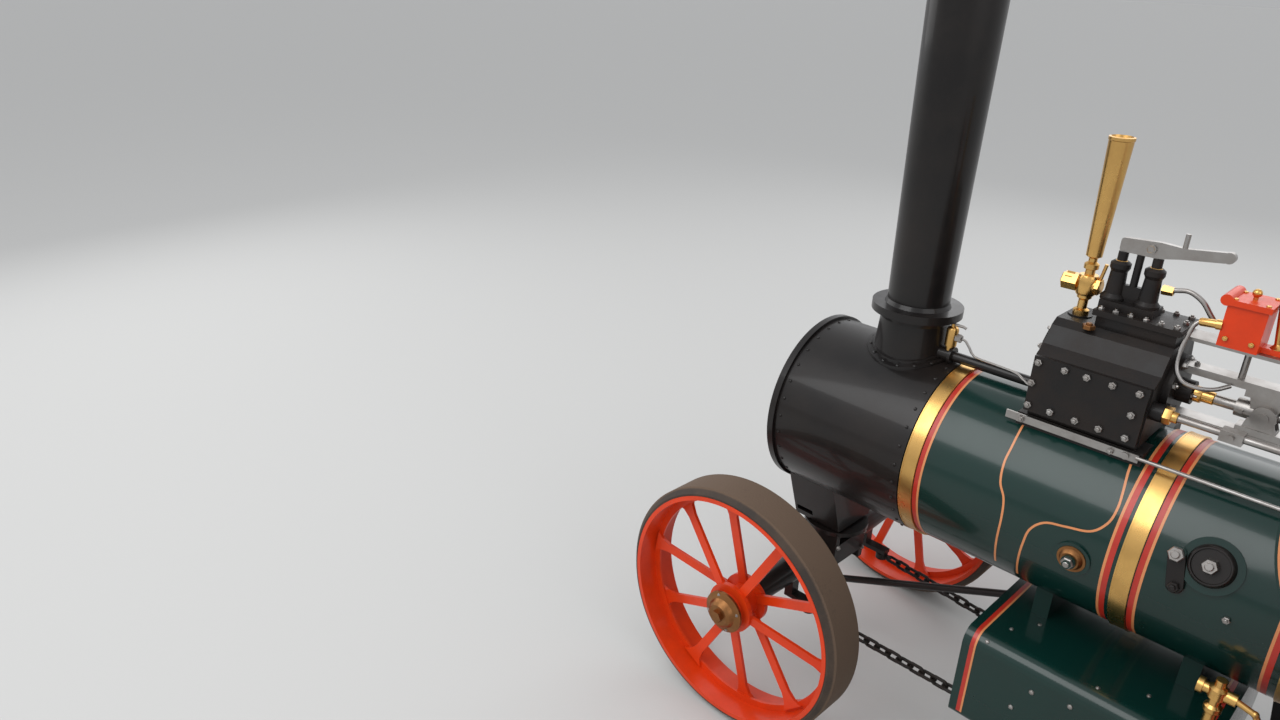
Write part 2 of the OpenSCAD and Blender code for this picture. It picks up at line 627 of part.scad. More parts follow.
module cylinder_block() {
    color(black) difference() {
        union() {
            on_motion() {
                long_bar(cyl_x0, cyl_x1) polygon([[-58, chest_z0], [-72, -40], [-74, 34], [-64, 62],
                    [-48, deck_h],
                    [44, deck_h], [60, 68], [78, 38], [chest_y, chest_z1], [chest_y, chest_z0]]);
                for (x = [cyl_x0 - 12, cyl_x1]) x_rod(bore_r + 10, x, x + 12);
                x_rod(bore_r - 4, cyl_x1 + 11, cyl_x1 + 17);
                x_rod(20, cyl_x0 - 34, cyl_x0);
                translate([0, valve_y, valve_h]) x_rod(15, cyl_x0 - 18, cyl_x0 + 2);
                // steam chest's cover plate
                block([cyl_x0 + 2, cyl_x1 - 2], [chest_y, chest_y + 10], [chest_z0, chest_z1]);
                // regulator box with its flanged cover
                block([cyl_x0 + 4, cyl_x0 + 130], [-42, 36], [deck_h - 1, dome_h - 8]);
                block([cyl_x0 - 2, cyl_x0 + 136], [-48, 42], [dome_h - 10, dome_h]);
            }
            z_rod(20, whistle_z - 14, whistle_z, whistle_x, 0);
            // saddle riveted to the barrel
            block([cylinder_x - cylinder_len / 2 + 4, cylinder_x + cylinder_len / 2 - 4], [-58, 92],
                [boiler_z + 0.8 * barrel_r, cylinder_z + chest_z0 + 2]);
            block([cylinder_x - cylinder_len / 2 - 10, cylinder_x + cylinder_len / 2 + 10], [-98, 98],
                [boiler_z + 0.8 * barrel_r, boiler_z + barrel_r - 6]);
        }
        x_rod(barrel_r + seat, throat_x, smokebox_rear_x, 0, boiler_z);
        on_motion() {
            x_rod(9 + run, cyl_x0 - 40, cyl_x0 + 60);
            translate([0, valve_y, valve_h]) x_rod(6 + run, cyl_x0 - 30, cyl_x0 + 30);
        }
    }
}
// Top of the cylinder block at a station along the motion
function top_z(x, h) = crank_z - (x - crank_x) * tan(motion_tilt) + h / cos(motion_tilt);
whistle_x = cylinder_x + 73;
whistle_z = top_z(whistle_x, deck_h) + 2;
module whistle() {
    z0 = whistle_z;
    valve_h = 56;
    color(brass) {
        translate([whistle_x, 0, z0]) rotate_extrude()
            polygon([[0, 0], [13, 0], [13, 8], [8, 11], [8, 26], [12, 30], [12, 36], [8, 40], [8,
                valve_h - 12],
                [14, valve_h - 10], [16, valve_h], [14, valve_h + 12], [8, valve_h + 15], [8, valve_h + 24],
                [12, valve_h + 26], [12, valve_h + 34], [7, valve_h + 38], [7, valve_h + 44], [13,
                    valve_h + 48],
                [19.5, valve_h + 241], [20.5, valve_h + 242], [20.5, valve_h + 247], [17, valve_h + 248],
                [16, valve_h + 244], [0, valve_h + 244]]);
        // valve's body towards the front, with its gland nut
        x_rod(10, whistle_x + 4, whistle_x + 40, 0, z0 + valve_h);
        x_rod(13, whistle_x + 24, whistle_x + 36, 0, z0 + valve_h, $fn = 6);
        x_rod(8, whistle_x - 23, whistle_x - 4, 0, z0 + valve_h - 4);
        x_rod(11, whistle_x - 22, whistle_x - 12, 0, z0 + valve_h - 4, $fn = 6);
    }
    color(steel) rod_between([whistle_x - 18, 0, z0 + valve_h + 2], [whistle_x - 24, 0,
        z0 + valve_h + 38], 3);
}
valve_x = cylinder_x + 1;
valve_pitch = 27;
valve_z = top_z(valve_x, dome_h);
lever_z = valve_z + 110;
module safety_valves() {
    z0 = valve_z;
    color(black) {
        block([valve_x - 46, valve_x + 40], [-24, 24], [z0, z0 + 14]);
        for (k = [-1, 1]) translate([valve_x + k * valve_pitch, 0, z0 + 12]) rotate_extrude()
            polygon([[0, 0], [20, 0], [20, 6], [15, 12], [13, 50], [16, 56], [16, 64], [11, 68], [0, 68]]);
        block([valve_x - valve_pitch, valve_x + valve_pitch], [-5, 5], [z0 + 12, z0 + 42]);
    }
    // stems and middle post, up to the lever's underside
    color(brass) for (k = [-1, 1]) z_rod(8, z0 + 79, lever_z - 14.2, valve_x + k * valve_pitch, 0);
    color(steel) z_rod(6, z0 + 40, lever_z - 14.2, valve_x, 0);
}
// Lever that bears on both valves: a stout front end, a pivot, and a slimmer arm with a rounded end
module valve_lever() {
    color(steel) {
        side_plate(-5, 5) {
            polygon(rounded([[valve_x + 34, lever_z - 14], [valve_x + 34, lever_z + 9],
                [valve_x - 26, lever_z + 13], [valve_x - 62, lever_z + 11], [valve_x - 124, lever_z + 19],
                [valve_x - 124, lever_z + 2], [valve_x - 60, lever_z - 7], [valve_x - 26,
                    lever_z - 14]], 5, 3));
            translate([valve_x - 124, lever_z + 10.5]) circle(r = 9);
        }
        y_rod(8, -9, 9, valve_x - 14, lever_z);
        z_rod(4, lever_z + 8, lever_z + 34, valve_x - 60, 0);
    }
}
lube_x = cylinder_x - 172;
lube_z = 966;
lube_half = 28;
lube_h = 68;
module lubricator() {
    top = lube_z + lube_h;
    color(red) {
        block([lube_x - lube_half, lube_x + lube_half], [-30, 30], [lube_z, top]);
        block([lube_x - lube_half - 4, lube_x + lube_half + 2], [-34, 34], [top - 1, top + 8]);
        y_rod(9, -34, 34, lube_x + lube_half + 2, top + 6);
    }
    // upright brass rod with its foot, on the plate behind the box
    color(brass) {
        block([lube_x - 62, lube_x - lube_half + 1], [-12, 12], [lube_z, lube_z + 9]);
        rod_between([lube_x - 48, 0, lube_z + 6], [lube_x - 26, 0, lube_z + 152], 5);
        translate([lube_x - 26, 0, lube_z + 152]) sphere(r = 9, $fn = 32);
    }
}
module oil_pipes() {
    x1 = lube_x + lube_half;
    color(copper) {
        // feed that loops down from the box to the slide bars
        pipe([[x1 - 6, 37, lube_z + 36], [x1 + 24, 40, lube_z + 34], [x1 + 36, 44, lube_z + 8],
            [x1 + 42, 48, lube_z - 36],
            [x1 + 22, 42, lube_z - 62], [x1 - 36, 22, lube_z - 58]], 3.5);
        // feed that arches over to the regulator box
        pipe([[x1, -12, lube_z + 40], [x1 + 8, -12, lube_z + 40], [x1 + 26, -11, lube_z + 54],
            [x1 + 50, -9, lube_z + 56],
            [x1 + 70, -7, lube_z + 44], [x1 + 78, -6, lube_z + 24], [x1 + 78, -6, top_z(x1 + 78,
                dome_h)]], 4);
    }
    color(brass) {
        y_rod(6, 30, 38, x1 - 6, lube_z + 36, $fn = 6);
        z_rod(8, top_z(x1 + 78, dome_h), top_z(x1 + 78, dome_h) + 10, x1 + 78, -6);
    }
}
module exhaust_pipe() {
    color(black) x_rod(exhaust_r, cylinder_x + cylinder_len / 2 + seat, exhaust_socket_x - seat,
        exhaust_y, exhaust_z);
}
drain_y = 92;
drain_z = boiler_z + sqrt(pow(barrel_r, 2) - pow(drain_y, 2)) + 8;
module drain_gear() {
    x0 = cylinder_x - cylinder_len / 2 - 6;
    x1 = cylinder_x + cylinder_len / 2 + 28;
    color(steel) {
        block([x0, x1], [drain_y + 8, drain_y + 12], [drain_z - 4, drain_z + 10]);
        rod_between([x0 + 4, drain_y + 10, drain_z + 4], [throat_x - 70, drain_y + 10, drain_z + 4], 3.5);
    }
    color(brass) for (x = [x0 + 20, x1 - 24]) y_rod(6, 98, drain_y + 16, x, drain_z + 3);
}
bar_gap = 36;
slipper_t = 11;     // thickness of a crosshead's slipper
crosshead_x = crank_throw * cos(crank_angle) + sqrt(pow(rod_len,
    2) - pow(crank_throw * sin(crank_angle), 2));
bar_t = 12;
bars_x0 = 171;
module slide_bars() {
    color(steel) {
        on_motion() for (s = [-1, 1]) block([bars_x0, cyl_x0 - 12], [-16, 16],
            s > 0 ? [bar_gap, bar_gap + bar_t] : [-bar_gap - bar_t, -bar_gap]);
        // plate that carries the oil box, on a post from the upper bar
        block([lube_x - 72, cylinder_x - cylinder_len / 2 - 2.2], [-24, 24], [lube_z - 6, lube_z - 0.2]);
        z_rod(5, crank_z + bar_gap + bar_t - 1, lube_z - 5, lube_x - 14, 0);
    }
}
module crosshead() {
    color(steel) on_motion() {
        difference() {
            union() {
                for (s = [-1, 1]) block([crosshead_x - 34, crosshead_x + 34], [-15, 15],
                    s > 0 ? [bar_gap - slipper_t, bar_gap - seat] : [-bar_gap + seat,
                        -bar_gap + slipper_t]);
                // body waisted between the slippers
                side_plate(-13, 13) polygon([[crosshead_x - 22, slipper_t - bar_gap - 1],
                    [crosshead_x - 12, 0], [crosshead_x - 22, bar_gap - slipper_t + 1],
                    [crosshead_x + 26, bar_gap - slipper_t + 1], [crosshead_x + 20, 0],
                    [crosshead_x + 26, slipper_t - bar_gap - 1]]);
                y_rod(18, -22, 22, crosshead_x, 0);
                x_rod(15, crosshead_x, crosshead_x + 42);
            }
            block([crosshead_x - 60, crosshead_x + 22], [-9.5, 9.5], [-22, 22]);
        }
        y_rod(8, -24, 24, crosshead_x, 0);
        x_rod(9, crosshead_x + 30, cyl_x0 + 40);
        // cotter through the rod's socket
        block([crosshead_x + 29, crosshead_x + 35], [-20, 20], [-3, 3]);
    }
}
pin_x = crank_throw * cos(crank_angle);
pin_z = crank_throw * sin(crank_angle);
module connecting_rod() {
    color(steel) on_motion() translate([pin_x, 0, pin_z])
        rotate([0, asin(pin_z / rod_len), 0]) difference() {
            union() {
                side_plate(-17, 17) { circle(r = 30); translate([0, -30]) square([36, 60]); }
                translate([34, 0, 0]) rotate([0, 90, 0]) cylinder(r1 = 14, r2 = 8, h = rod_len - 46);
                y_rod(14, -9, 9, rod_len, 0);
            }
            y_rod(18 + run, -20, 20);
            y_rod(8 + seat, -10, 10, rod_len, 0);
        }
}
ecc_throw = 13;
ecc_r = 33;
ecc_y = [[66, 80, 130], [86, 100, -130]];   // from, to, advance in degrees
link_x = 205;
module valve_gear() {
    color(steel) on_motion() {
        for (e = ecc_y) {
            c = ecc_throw * [cos(crank_angle + e[2]), 0, sin(crank_angle + e[2])];
            end_z = e[2] > 0 ? 34 : -34;
            a = [c[0], (e[0] + e[1]) / 2, c[2]];
            b = [link_x, (e[0] + e[1]) / 2, end_z];
            difference() {
                union() {
                    y_rod(ecc_r + 11, e[0] + 1, e[1] - 1, c[0], c[2]);
                    rod_between(a + (b - a) * (ecc_r + 8) / norm(b - a), b, 5);
                    y_rod(10, e[0] + 1, e[1] - 1, b[0], b[2]);
                }
                y_rod(ecc_r + seat, e[0] - 1, e[1] + 1, c[0], c[2]);
            }
        }
        // expansion link between the two rods, with its die and the valve rod
        side_plate(79.3, 86.7) difference() {
            union() {
                translate([link_x, -46]) square([14, 92]);
                for (s = [-1, 1]) translate([link_x + 4, s * 38]) circle(r = 13);
            }
            translate([link_x + 3, -26]) square([8, 52]);
        }
        x_rod(6, link_x + 28, cyl_x0 + 20, valve_y, valve_h);
        block([link_x + 10, link_x + 34], [69, 88], [valve_h - 8, 10]);
        // forked joint in the valve rod
        block([cyl_x0 - 132, cyl_x0 - 100], [valve_y - 11, valve_y + 11], [valve_h - 9, valve_h + 9]);
        y_rod(5, valve_y - 15, valve_y + 15, cyl_x0 - 116, valve_h);
    }
}
module motion_bracket() {
    x0 = crank_x + 158;
    color(black) difference() {
        long_bar(x0, x0 + 12) polygon([[-120, boiler_z + 100], [-120, crank_z - 20], [-60, crank_z + 58],
            [60, crank_z + 58], [130, crank_z + 20], [130, boiler_z + 90]]);
        x_rod(barrel_r + seat, throat_x - 140, smokebox_rear_x, 0, boiler_z);
        block([x0 - 1, x0 + 13], [-26, 26], [crank_z - 50, crank_z + 27]);
        block([x0 - 1, x0 + 13], [58, 108], [crank_z - 60, crank_z + 38]);
        x_rod(5, x0 - 1, x0 + 13, drain_y + 10, drain_z + 4);
    }
}
module crankshaft() {
    color(steel) {
        translate([crank_x, 0, crank_z]) rotate([0, motion_tilt - crank_angle, 0]) {
            for (s = [-1, 1]) side_plate(s > 0 ? 20 : -38, s > 0 ? 38 : -20) {
                circle(r = 29);
                translate([crank_throw, 0]) circle(r = 25);
                translate([0, -22]) square([crank_throw, 44]);
                translate([-46, -26]) square([40, 52]);
            }
            y_rod(18, -21, 21, crank_throw, 0);
        }
        y_rod(crank_r, -horn_out_y - 86, -30, crank_x, crank_z);
        y_rod(crank_r, 30, flywheel_y1 + 6, crank_x, crank_z);
        translate([crank_x, 0, crank_z]) rotate([0, motion_tilt, 0]) for (e = ecc_y)
            y_rod(ecc_r, e[0], e[1], ecc_throw * cos(crank_angle + e[2]),
                ecc_throw * sin(crank_angle + e[2]));
        translate([crank_x, 0, crank_z]) gear(crank_pinion_n, final_gear_y0 + 14, final_gear_y1, 0,
            crank_r - 1);
    }
}
module flywheel() {
    rim_t = 20;
    mid = (flywheel_y0 + flywheel_y1) / 2;
    r = flywheel_d / 2;
    color(green) translate([crank_x, mid, crank_z]) {
        revolved_y(0, 0, 0) {
            translate([r - rim_t, -flywheel_w / 2]) square([rim_t, flywheel_w]);
            translate([crank_r + run, -flywheel_w / 2 + 2]) square([26, flywheel_w - 4]);
            translate([r - rim_t - 8, -9]) square([9, 18]);
        }
        for (i = [0 : 5]) rotate([0, i * 60, 0]) side_plate(-8, 8)
            polygon([[-18, crank_r + 20], [18, crank_r + 20], [13, r - rim_t - 4], [-13, r - rim_t - 4]]);
    }
}
// A gear wheel's lightening holes
module round_holes(n, pcr, r, y0, y1) {
    for (i = [0 : n - 1]) rotate([0, (i + 0.5) * 360 / n, 0]) y_rod(r, y0, y1, pcr, 0);
}
final_turn = atan2(second_z - rear_r, second_x - rear_x);
module second_shaft() {
    color(steel) {
        y_rod(second_shaft_r, final_gear_y0 - 6, horn_out_y + 6, second_x, second_z);
        translate([second_x, 0, second_z]) {
            gear(second_pinion_n, final_gear_y0, final_gear_y1,
                final_turn + 180 + 180 / second_pinion_n, second_shaft_r - 1);
            y_rod(34, final_gear_y1 - 1, second_gear_y0 + 1);
            difference() {
                gear(second_gear_n, second_gear_y0, second_gear_y1, 0, second_shaft_r - 1);
                round_holes(6, 104, 36, second_gear_y0 - 1, second_gear_y1 + 1);
            }
        }
    }
}
module final_gear() {
    color(black) translate([rear_x, 0, rear_r]) difference() {
        union() {
            gear(final_gear_n, final_gear_y0, final_gear_y1, final_turn, rear_axle_r + seat);
            y_rod(60, final_gear_y0 - 8, final_gear_y1 + 20);
        }
        y_rod(rear_axle_r + seat, final_gear_y0 - 10, final_gear_y1 + 30);
        for (s = [[final_gear_y0 - 20, final_gear_y0 + 14], [final_gear_y1 - 14, final_gear_y1 + 30]])
            translate([0, 0, 0]) difference() {
                y_rod(200, s[0], s[1]);
                y_rod(60, s[0] - 1, s[1] + 1);
            }
        round_holes(6, 132, 46, final_gear_y0 - 1, final_gear_y1 + 1);
    }
}
module rear_axle() {
    color(steel) y_rod(rear_axle_r, -rear_wheel_y - rear_wheel_w / 2 + 10,
        rear_wheel_y + rear_wheel_w / 2 - 10, rear_x, rear_r);
}
module belly_tank() {
    x0 = throat_x + tank_gap;
    x1 = front_x - tank_back;
    half = tank_w / 2;
    z0 = tank_top_z - tank_h;
    color(green) {
        long_bar(x0, x1) union() {
            translate([-half + tank_edge_r, z0]) square([tank_w - 2 * tank_edge_r, tank_h]);
            translate([-half, z0 + 12]) square([tank_w, tank_h - 12 - tank_edge_r]);
            for (s = [-1, 1]) {
                translate([s * (half - tank_edge_r), tank_top_z - tank_edge_r]) circle(r = tank_edge_r);
                translate([s * (half - 12), z0 + 12]) circle(r = 12);
            }
        }
        // saddles up to the barrel
        for (x = [x0 + 60, x1 - 90]) difference() {
            block([x, x + 30], [-90, 90], [tank_top_z - 1, tank_top_z + 60]);
            x_rod(barrel_r + seat, x - 1, x + 31, 0, boiler_z);
        }
    }
}
module tank_valve() {
    x0 = throat_x + tank_gap + 19;
    y0 = 200;
    z0 = tank_top_z;
    color(brass) {
        translate([x0, y0, z0]) rotate_extrude()
            polygon([[0, 0], [15, 0], [15, 6], [9, 9], [9, 60], [13, 64], [13, 72], [9, 76], [9, 86],
                [14, 90], [14, 106], [8, 110], [8, 122], [0, 122]]);
        x_rod(9, x0, x0 + 26, y0, z0 + 98);
        x_rod(13, x0 + 20, x0 + 28, y0, z0 + 98);
        x_rod(10, x0 - 26, x0, y0, z0 + 98);
    }
    color(copper) pipe([[x0 - 24, y0, z0 + 98], [x0 - 52, y0 + 2, z0 + 92], [x0 - 66, y0 + 2, z0 + 70],
        [x0 - 70, y0 - 2, z0 + 30],
        [x0 - 74, horn_out_y + 5, z0 - 10]], 5);
}
corner_r = 40;
// Tender's outline seen from above, with round rear corners, grown inwards by a margin
module tender_plan(x0, x1, half, in) {
    translate([x0 + corner_r, -half + in]) square([x1 - x0 - corner_r, 2 * (half - in)]);
    translate([x0 + in, -half + corner_r]) square([corner_r, 2 * (half - corner_r)]);
    for (s = [-1, 1]) translate([x0 + corner_r, s * (half - corner_r)]) circle(r = corner_r - in);
}
bunker_z = footplate_z + 180;
module tender() {
    x0 = rear_x - tender_back;
    x1 = rear_x - 130;
    half = tender_w / 2;
    color(green) {
        // water tank across the bottom, with the coal space above it
        translate([0, 0, footplate_z - 60]) linear_extrude(bunker_z - footplate_z + 60) tender_plan(x0,
            x1, half, 0);
        difference() {
            translate([0, 0, bunker_z - 1]) linear_extrude(tender_rim_z - bunker_z + 1) difference() {
                tender_plan(x0, x1, half, 0);
                tender_plan(x0, x1 + 1, half, tender_wall);
            }
            // sides sweep down to the front
            side_plate(-half - 1, half + 1) {
                translate([x1 - 60, tender_rim_z - 50]) square([62, 60]);
                translate([x1 - 110, tender_rim_z - 2]) square([60, 4]);
            }
            y_rod(60, -half - 1, half + 1, x1, tender_rim_z - 40);
        }
        // rolled beading on the rim and at the joint of the two tanks
        for (s = [-1, 1]) x_rod(6, x0 + corner_r, x1 - 62, s * (half - 1), tender_rim_z);
        y_rod(6, -half + corner_r, half - corner_r, x0 + 1, tender_rim_z);
        for (s = [-1, 1]) translate([x0 + corner_r, s * (half - corner_r), tender_rim_z])
            rotate([0, 0, s > 0 ? 90 : 180]) rotate_extrude(angle = 90) translate([corner_r - 1,
                0]) circle(r = 6);
        translate([0, 0, bunker_z - 14]) linear_extrude(10) difference() {
            tender_plan(x0 - 2, x1, half + 2, 0);
            tender_plan(x0, x1 + 1, half, 1);
        }
        // water filler's neck, with the lid's hinge lugs
        z_rod(lid_r - 2, bunker_z - 1, lid_z, lid_x, lid_y);
        for (k = [-1, 1], lug = [[4, lid_z - 20, lid_z - 1], [-4, lid_z - 2, lid_z + 9]])
            block([lid_x - lid_r - 14, lid_x - lid_r + lug[0]], [lid_y + k * 13 - 3,
                lid_y + k * 13 + 3], [lug[1], lug[2]]);
        y_rod(3, lid_y - 18, lid_y + 18, lid_x - lid_r - 8, lid_z + 4);
    }
}
module footplate() {
    color(black) {
        block([rear_x - 130, backhead_x - 3], [-horn_in_y + 0.2, horn_in_y - 0.2], [footplate_z - 8,
            footplate_z]);
        for (s = [-1, 1]) block([rear_x - 130, rear_x - 70], [s > 0 ? horn_out_y : -horn_out_y - 8,
            s > 0 ? horn_out_y + 8 : -horn_out_y], [footplate_z - 10, footplate_z + 60]);
    }
}
lid_x = rear_x - tender_back + 90;
lid_y = 120;
lid_r = 38;
lid_z = tender_rim_z - 30;
module tank_lid() {
    color(brass) difference() {
        union() {
            z_rod(lid_r, lid_z + 0.3, lid_z + 8, lid_x, lid_y);
            block([lid_x - lid_r - 8, lid_x - lid_r + 12], [lid_y - 9, lid_y + 9], [lid_z + 0.3,
                lid_z + 8]);
            y_rod(5.5, lid_y - 9, lid_y + 9, lid_x - lid_r - 8, lid_z + 4);
        }
        y_rod(3 + run, lid_y - 19, lid_y + 19, lid_x - lid_r - 8, lid_z + 4);
    }
}
module drawbar() {
    x0 = rear_x - rear_overhang;
    z = footplate_z - 20;
    color(black) difference() {
        union() {
            for (s = [-1, 1]) block([x0 + 28, x0 + drawbar_reach], [-28, 28], [z + s * 22 - 6,
                z + s * 22 + 6]);
            for (s = [-1, 1]) z_rod(28, z + s * 22 - 6, z + s * 22 + 6, x0 + 28, 0);
            block([x0 + drawbar_reach - 12, x0 + drawbar_reach], [-60, 60], [z - 36, z + 36]);
        }
        z_rod(drawbar_hole_r, z - 40, z + 40, x0 + 28, 0);
    }
}
module fire_door() {
    hole_z = firebox_foot_z + 190;
    color(black) {
        x_rod(64, backhead_x - 12, backhead_x - 0.3, 0, hole_z);
        difference() {
            union() {
                block([backhead_x - 18, backhead_x - 11], [-20, fire_hinge_y], [hole_z - 10, hole_z + 10]);
                z_rod(9, hole_z - 16.5, hole_z + 16.5, fire_hinge_x, fire_hinge_y);
            }
            z_rod(hinge_pin_r + run, hole_z - 17, hole_z + 17, fire_hinge_x, fire_hinge_y);
        }
    }
}
module gauges() {
    color(brass) {
        x_rod(36, backhead_x - 26, backhead_x - 8, -60, boiler_z + 108);
        x_rod(8, backhead_x - 9, backhead_x - 0, -60, boiler_z + 108);
        for (z = [boiler_z - 20, boiler_z + 100]) x_rod(7, backhead_x - 26, backhead_x, 70, z);
        z_rod(6, boiler_z - 30, boiler_z + 112, backhead_x - 22, 70);
    }
}
module reversing_gear() {
    color(steel) {
        side_plate(-horn_in_y, -horn_in_y + 6) polygon([[rear_x - 10, 500], [rear_x + 40, 500],
            [rear_x + 60, 620],
            [rear_x - 60, 620], [rear_x - 60, 600], [rear_x + 5, 580]]);
        rod_between([rear_x + 16, -horn_in_y + 12, 520], [rear_x - 20, -horn_in_y + 12, 960], 7);
    }
}
handwheel_x = rear_x - 60;
handwheel_z = 1000;
worm_x = chain_barrel_x + 36;
worm_z = chain_barrel_z + 22;
column = [handwheel_x - worm_x, 0, handwheel_z - worm_z];
column_len = norm(column);
module on_column() {
    translate([worm_x, steer_y, worm_z]) rotate([0, atan2(column[0], column[2]), 0]) children();
}
module steering_wheel() {
    color(steel) on_column() {
        z_rod(column_r, -30, column_len);
        z_rod(14, -22, 22);
        z_rod(17, column_len - 12, column_len + 12);
    }
    color(red) on_column() translate([0, 0, column_len]) {
        rotate_extrude($fn = 96) translate([handwheel_r, 0]) circle(r = 7);
        for (a = [0, 90]) rotate([0, 0, a]) x_rod(5, -handwheel_r, handwheel_r);
    }
}
barrel_shaft_r = 12;
column_r = 8;
module steering_brackets() {
    x0 = chain_barrel_x;
    color(black) {
        for (s = [-1, 1]) difference() {
            side_plate(s > 0 ? horn_out_y : -horn_out_y - 7, s > 0 ? horn_out_y + 7 : -horn_out_y) {
                polygon([[x0 - 24, chain_barrel_z], [x0 + 24, chain_barrel_z], [x0 + 50, 330],
                    [x0 + 50, 380],
                    [x0 - 60, 380], [x0 - 60, 330]]);
                translate([x0, chain_barrel_z]) circle(r = 24);
            }
            y_rod(barrel_shaft_r + run, -horn_out_y - 20, horn_out_y + 20, x0, chain_barrel_z);
        }
        for (t = [0.28, 0.74]) on_column() translate([0, 0, t * column_len]) difference() {
            union() {
                z_rod(15, -14, 14);
                block([-11, 11], [horn_out_y - steer_y, 0], [-12, 12]);
            }
            z_rod(column_r + run, -15, 15);
        }
    }
}
module chain_barrel() {
    x0 = chain_barrel_x;
    color(black) {
        y_rod(chain_barrel_r, -horn_in_y + 10, horn_in_y - 10, x0, chain_barrel_z);
        y_rod(barrel_shaft_r, -horn_out_y - 12, steer_y + 10, x0, chain_barrel_z);
        y_rod(27, steer_y - 9, steer_y + 9, x0, chain_barrel_z);
    }
}
chain_r = 12;      // half of a link's width
wire_r = 3.5;
link_half = 20;    // from a link's middle to its wire's outer end
link_play = 0.06;  // gap where two links pull on each other
// One link about its middle, long along X; every second one stands on edge
module chain_link() {
    arc = chain_r - wire_r;
    straight = link_half - chain_r;
    for (s = [-1, 1]) {
        x_rod(wire_r, -straight, straight, s * arc, 0);
        translate([s * straight, 0, 0]) rotate([0, 0, s > 0 ? -90 : 90])
            rotate_extrude(angle = 180, $fn = 32) translate([arc, 0]) circle(r = wire_r, $fn = 16);
    }
}
module chain(side) {
    // the left chain leaves the barrel's top, the right one its bottom, clear of it when it runs back
    off = side > 0 ? chain_barrel_r + chain_r + 0.5 : -chain_barrel_r - chain_r - 5;
    a = [chain_barrel_x, side * chain_lug_y, chain_barrel_z + off];
    b = [lug_x - 20, side * chain_lug_y, lug_z];
    d = b - a;
    pitch = 2 * link_half - 4 * wire_r - link_play;
    n = floor(norm(d) / pitch);
    color(black) {
        for (i = [0 : n - 1]) translate(b - d / norm(d) * (i + 0.5) * pitch)
            rotate([0, -atan2(d[2], d[0]), 0]) rotate([i % 2 * 90, 0, 0]) chain_link();
        difference() {
            union() {
                z_rod(14, lug_z - 7, lug_z + 7, lug_x, side * chain_lug_y);
                block([lug_x - 24, lug_x], [side * chain_lug_y - 6, side * chain_lug_y + 6],
                    [lug_z - 3, lug_z + 3]);
            }
            z_rod(6 + run, lug_z - 8, lug_z + 8, lug_x, side * chain_lug_y);
        }
    }
}

boiler_barrel();
brass_bands();
boiler_fittings();
smokebox();
smokebox_door();
chimney_base();
chimney();
chimney_cap();
perch_bracket();
perch_stay();
firebox();
ash_pan();
hornplate(1);  // hornplate_left
hornplate(-1);  // hornplate_right
shaft_bearings();
cylinder_block();
whistle();
safety_valves();
valve_lever();
lubricator();
oil_pipes();
exhaust_pipe();
drain_gear();
slide_bars();
crosshead();
connecting_rod();
valve_gear();
motion_bracket();
crankshaft();
flywheel();
second_shaft();
final_gear();
rear_axle();
belly_tank();
tank_valve();
tender();
footplate();
tank_lid();
drawbar();
fire_door();
gauges();
reversing_gear();
front_axle();
steering_wheel();
steering_brackets();
chain_barrel();
chain(1);  // chain_left
chain(-1);  // chain_right
front_wheel(1);  // front_wheel_left
front_tyre(1);  // front_tyre_left
front_cap(1);  // front_cap_left
front_wheel(-1);  // front_wheel_right
front_tyre(-1);  // front_tyre_right
front_cap(-1);  // front_cap_right
rear_wheel(1);  // rear_wheel_left
rear_tyre(1);  // rear_tyre_left
rear_cap(1);  // rear_cap_left
rear_wheel(-1);  // rear_wheel_right
rear_tyre(-1);  // rear_tyre_right
rear_cap(-1);  // rear_cap_right
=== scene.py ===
"""Looks of a half-size steam traction engine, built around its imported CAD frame.

Lengths are metres in the frame's own axes: X forward, Y to the engine's left, Z up. Places along
the engine are given as "back", the distance behind the front axle, as the drawing office would.
"""

import json
import logging
import math
from dataclasses import dataclass, field
from enum import Enum

import bmesh
import bpy
import numpy as np
from mathutils import Matrix, Vector
from numpy.typing import ArrayLike

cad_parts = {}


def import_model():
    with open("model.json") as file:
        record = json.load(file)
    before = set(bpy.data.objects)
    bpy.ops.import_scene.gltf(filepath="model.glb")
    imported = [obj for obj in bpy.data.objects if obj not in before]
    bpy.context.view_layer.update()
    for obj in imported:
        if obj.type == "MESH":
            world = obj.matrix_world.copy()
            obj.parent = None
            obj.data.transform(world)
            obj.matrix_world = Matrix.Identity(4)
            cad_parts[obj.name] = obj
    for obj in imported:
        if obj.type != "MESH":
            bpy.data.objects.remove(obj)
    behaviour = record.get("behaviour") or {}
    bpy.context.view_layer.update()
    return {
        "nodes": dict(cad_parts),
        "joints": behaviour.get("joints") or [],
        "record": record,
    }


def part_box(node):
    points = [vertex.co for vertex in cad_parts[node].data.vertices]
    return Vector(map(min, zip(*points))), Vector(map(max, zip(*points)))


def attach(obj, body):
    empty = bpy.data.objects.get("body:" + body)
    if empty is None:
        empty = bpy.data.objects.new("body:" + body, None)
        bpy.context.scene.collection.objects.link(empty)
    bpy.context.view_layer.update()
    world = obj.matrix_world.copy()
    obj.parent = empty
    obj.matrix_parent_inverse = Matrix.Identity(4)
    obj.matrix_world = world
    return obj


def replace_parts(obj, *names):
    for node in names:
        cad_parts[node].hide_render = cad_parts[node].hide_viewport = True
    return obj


LOG = logging.getLogger("traction_engine")
Point = tuple[float, float, float]
Pair = tuple[float, float]
Points = tuple[Point, ...]
# a profile to be turned is pairs of radius and distance along the axis
Pairs = tuple[Pair, ...]
Socket = bpy.types.NodeSocket

ORIGIN: Point = (0.0, 0.0, 0.0)
FORWARD: Point = (1.0, 0.0, 0.0)
BACKWARD: Point = (-1.0, 0.0, 0.0)
LEFT: Point = (0.0, 1.0, 0.0)
RIGHT: Point = (0.0, -1.0, 0.0)
UP: Point = (0.0, 0.0, 1.0)
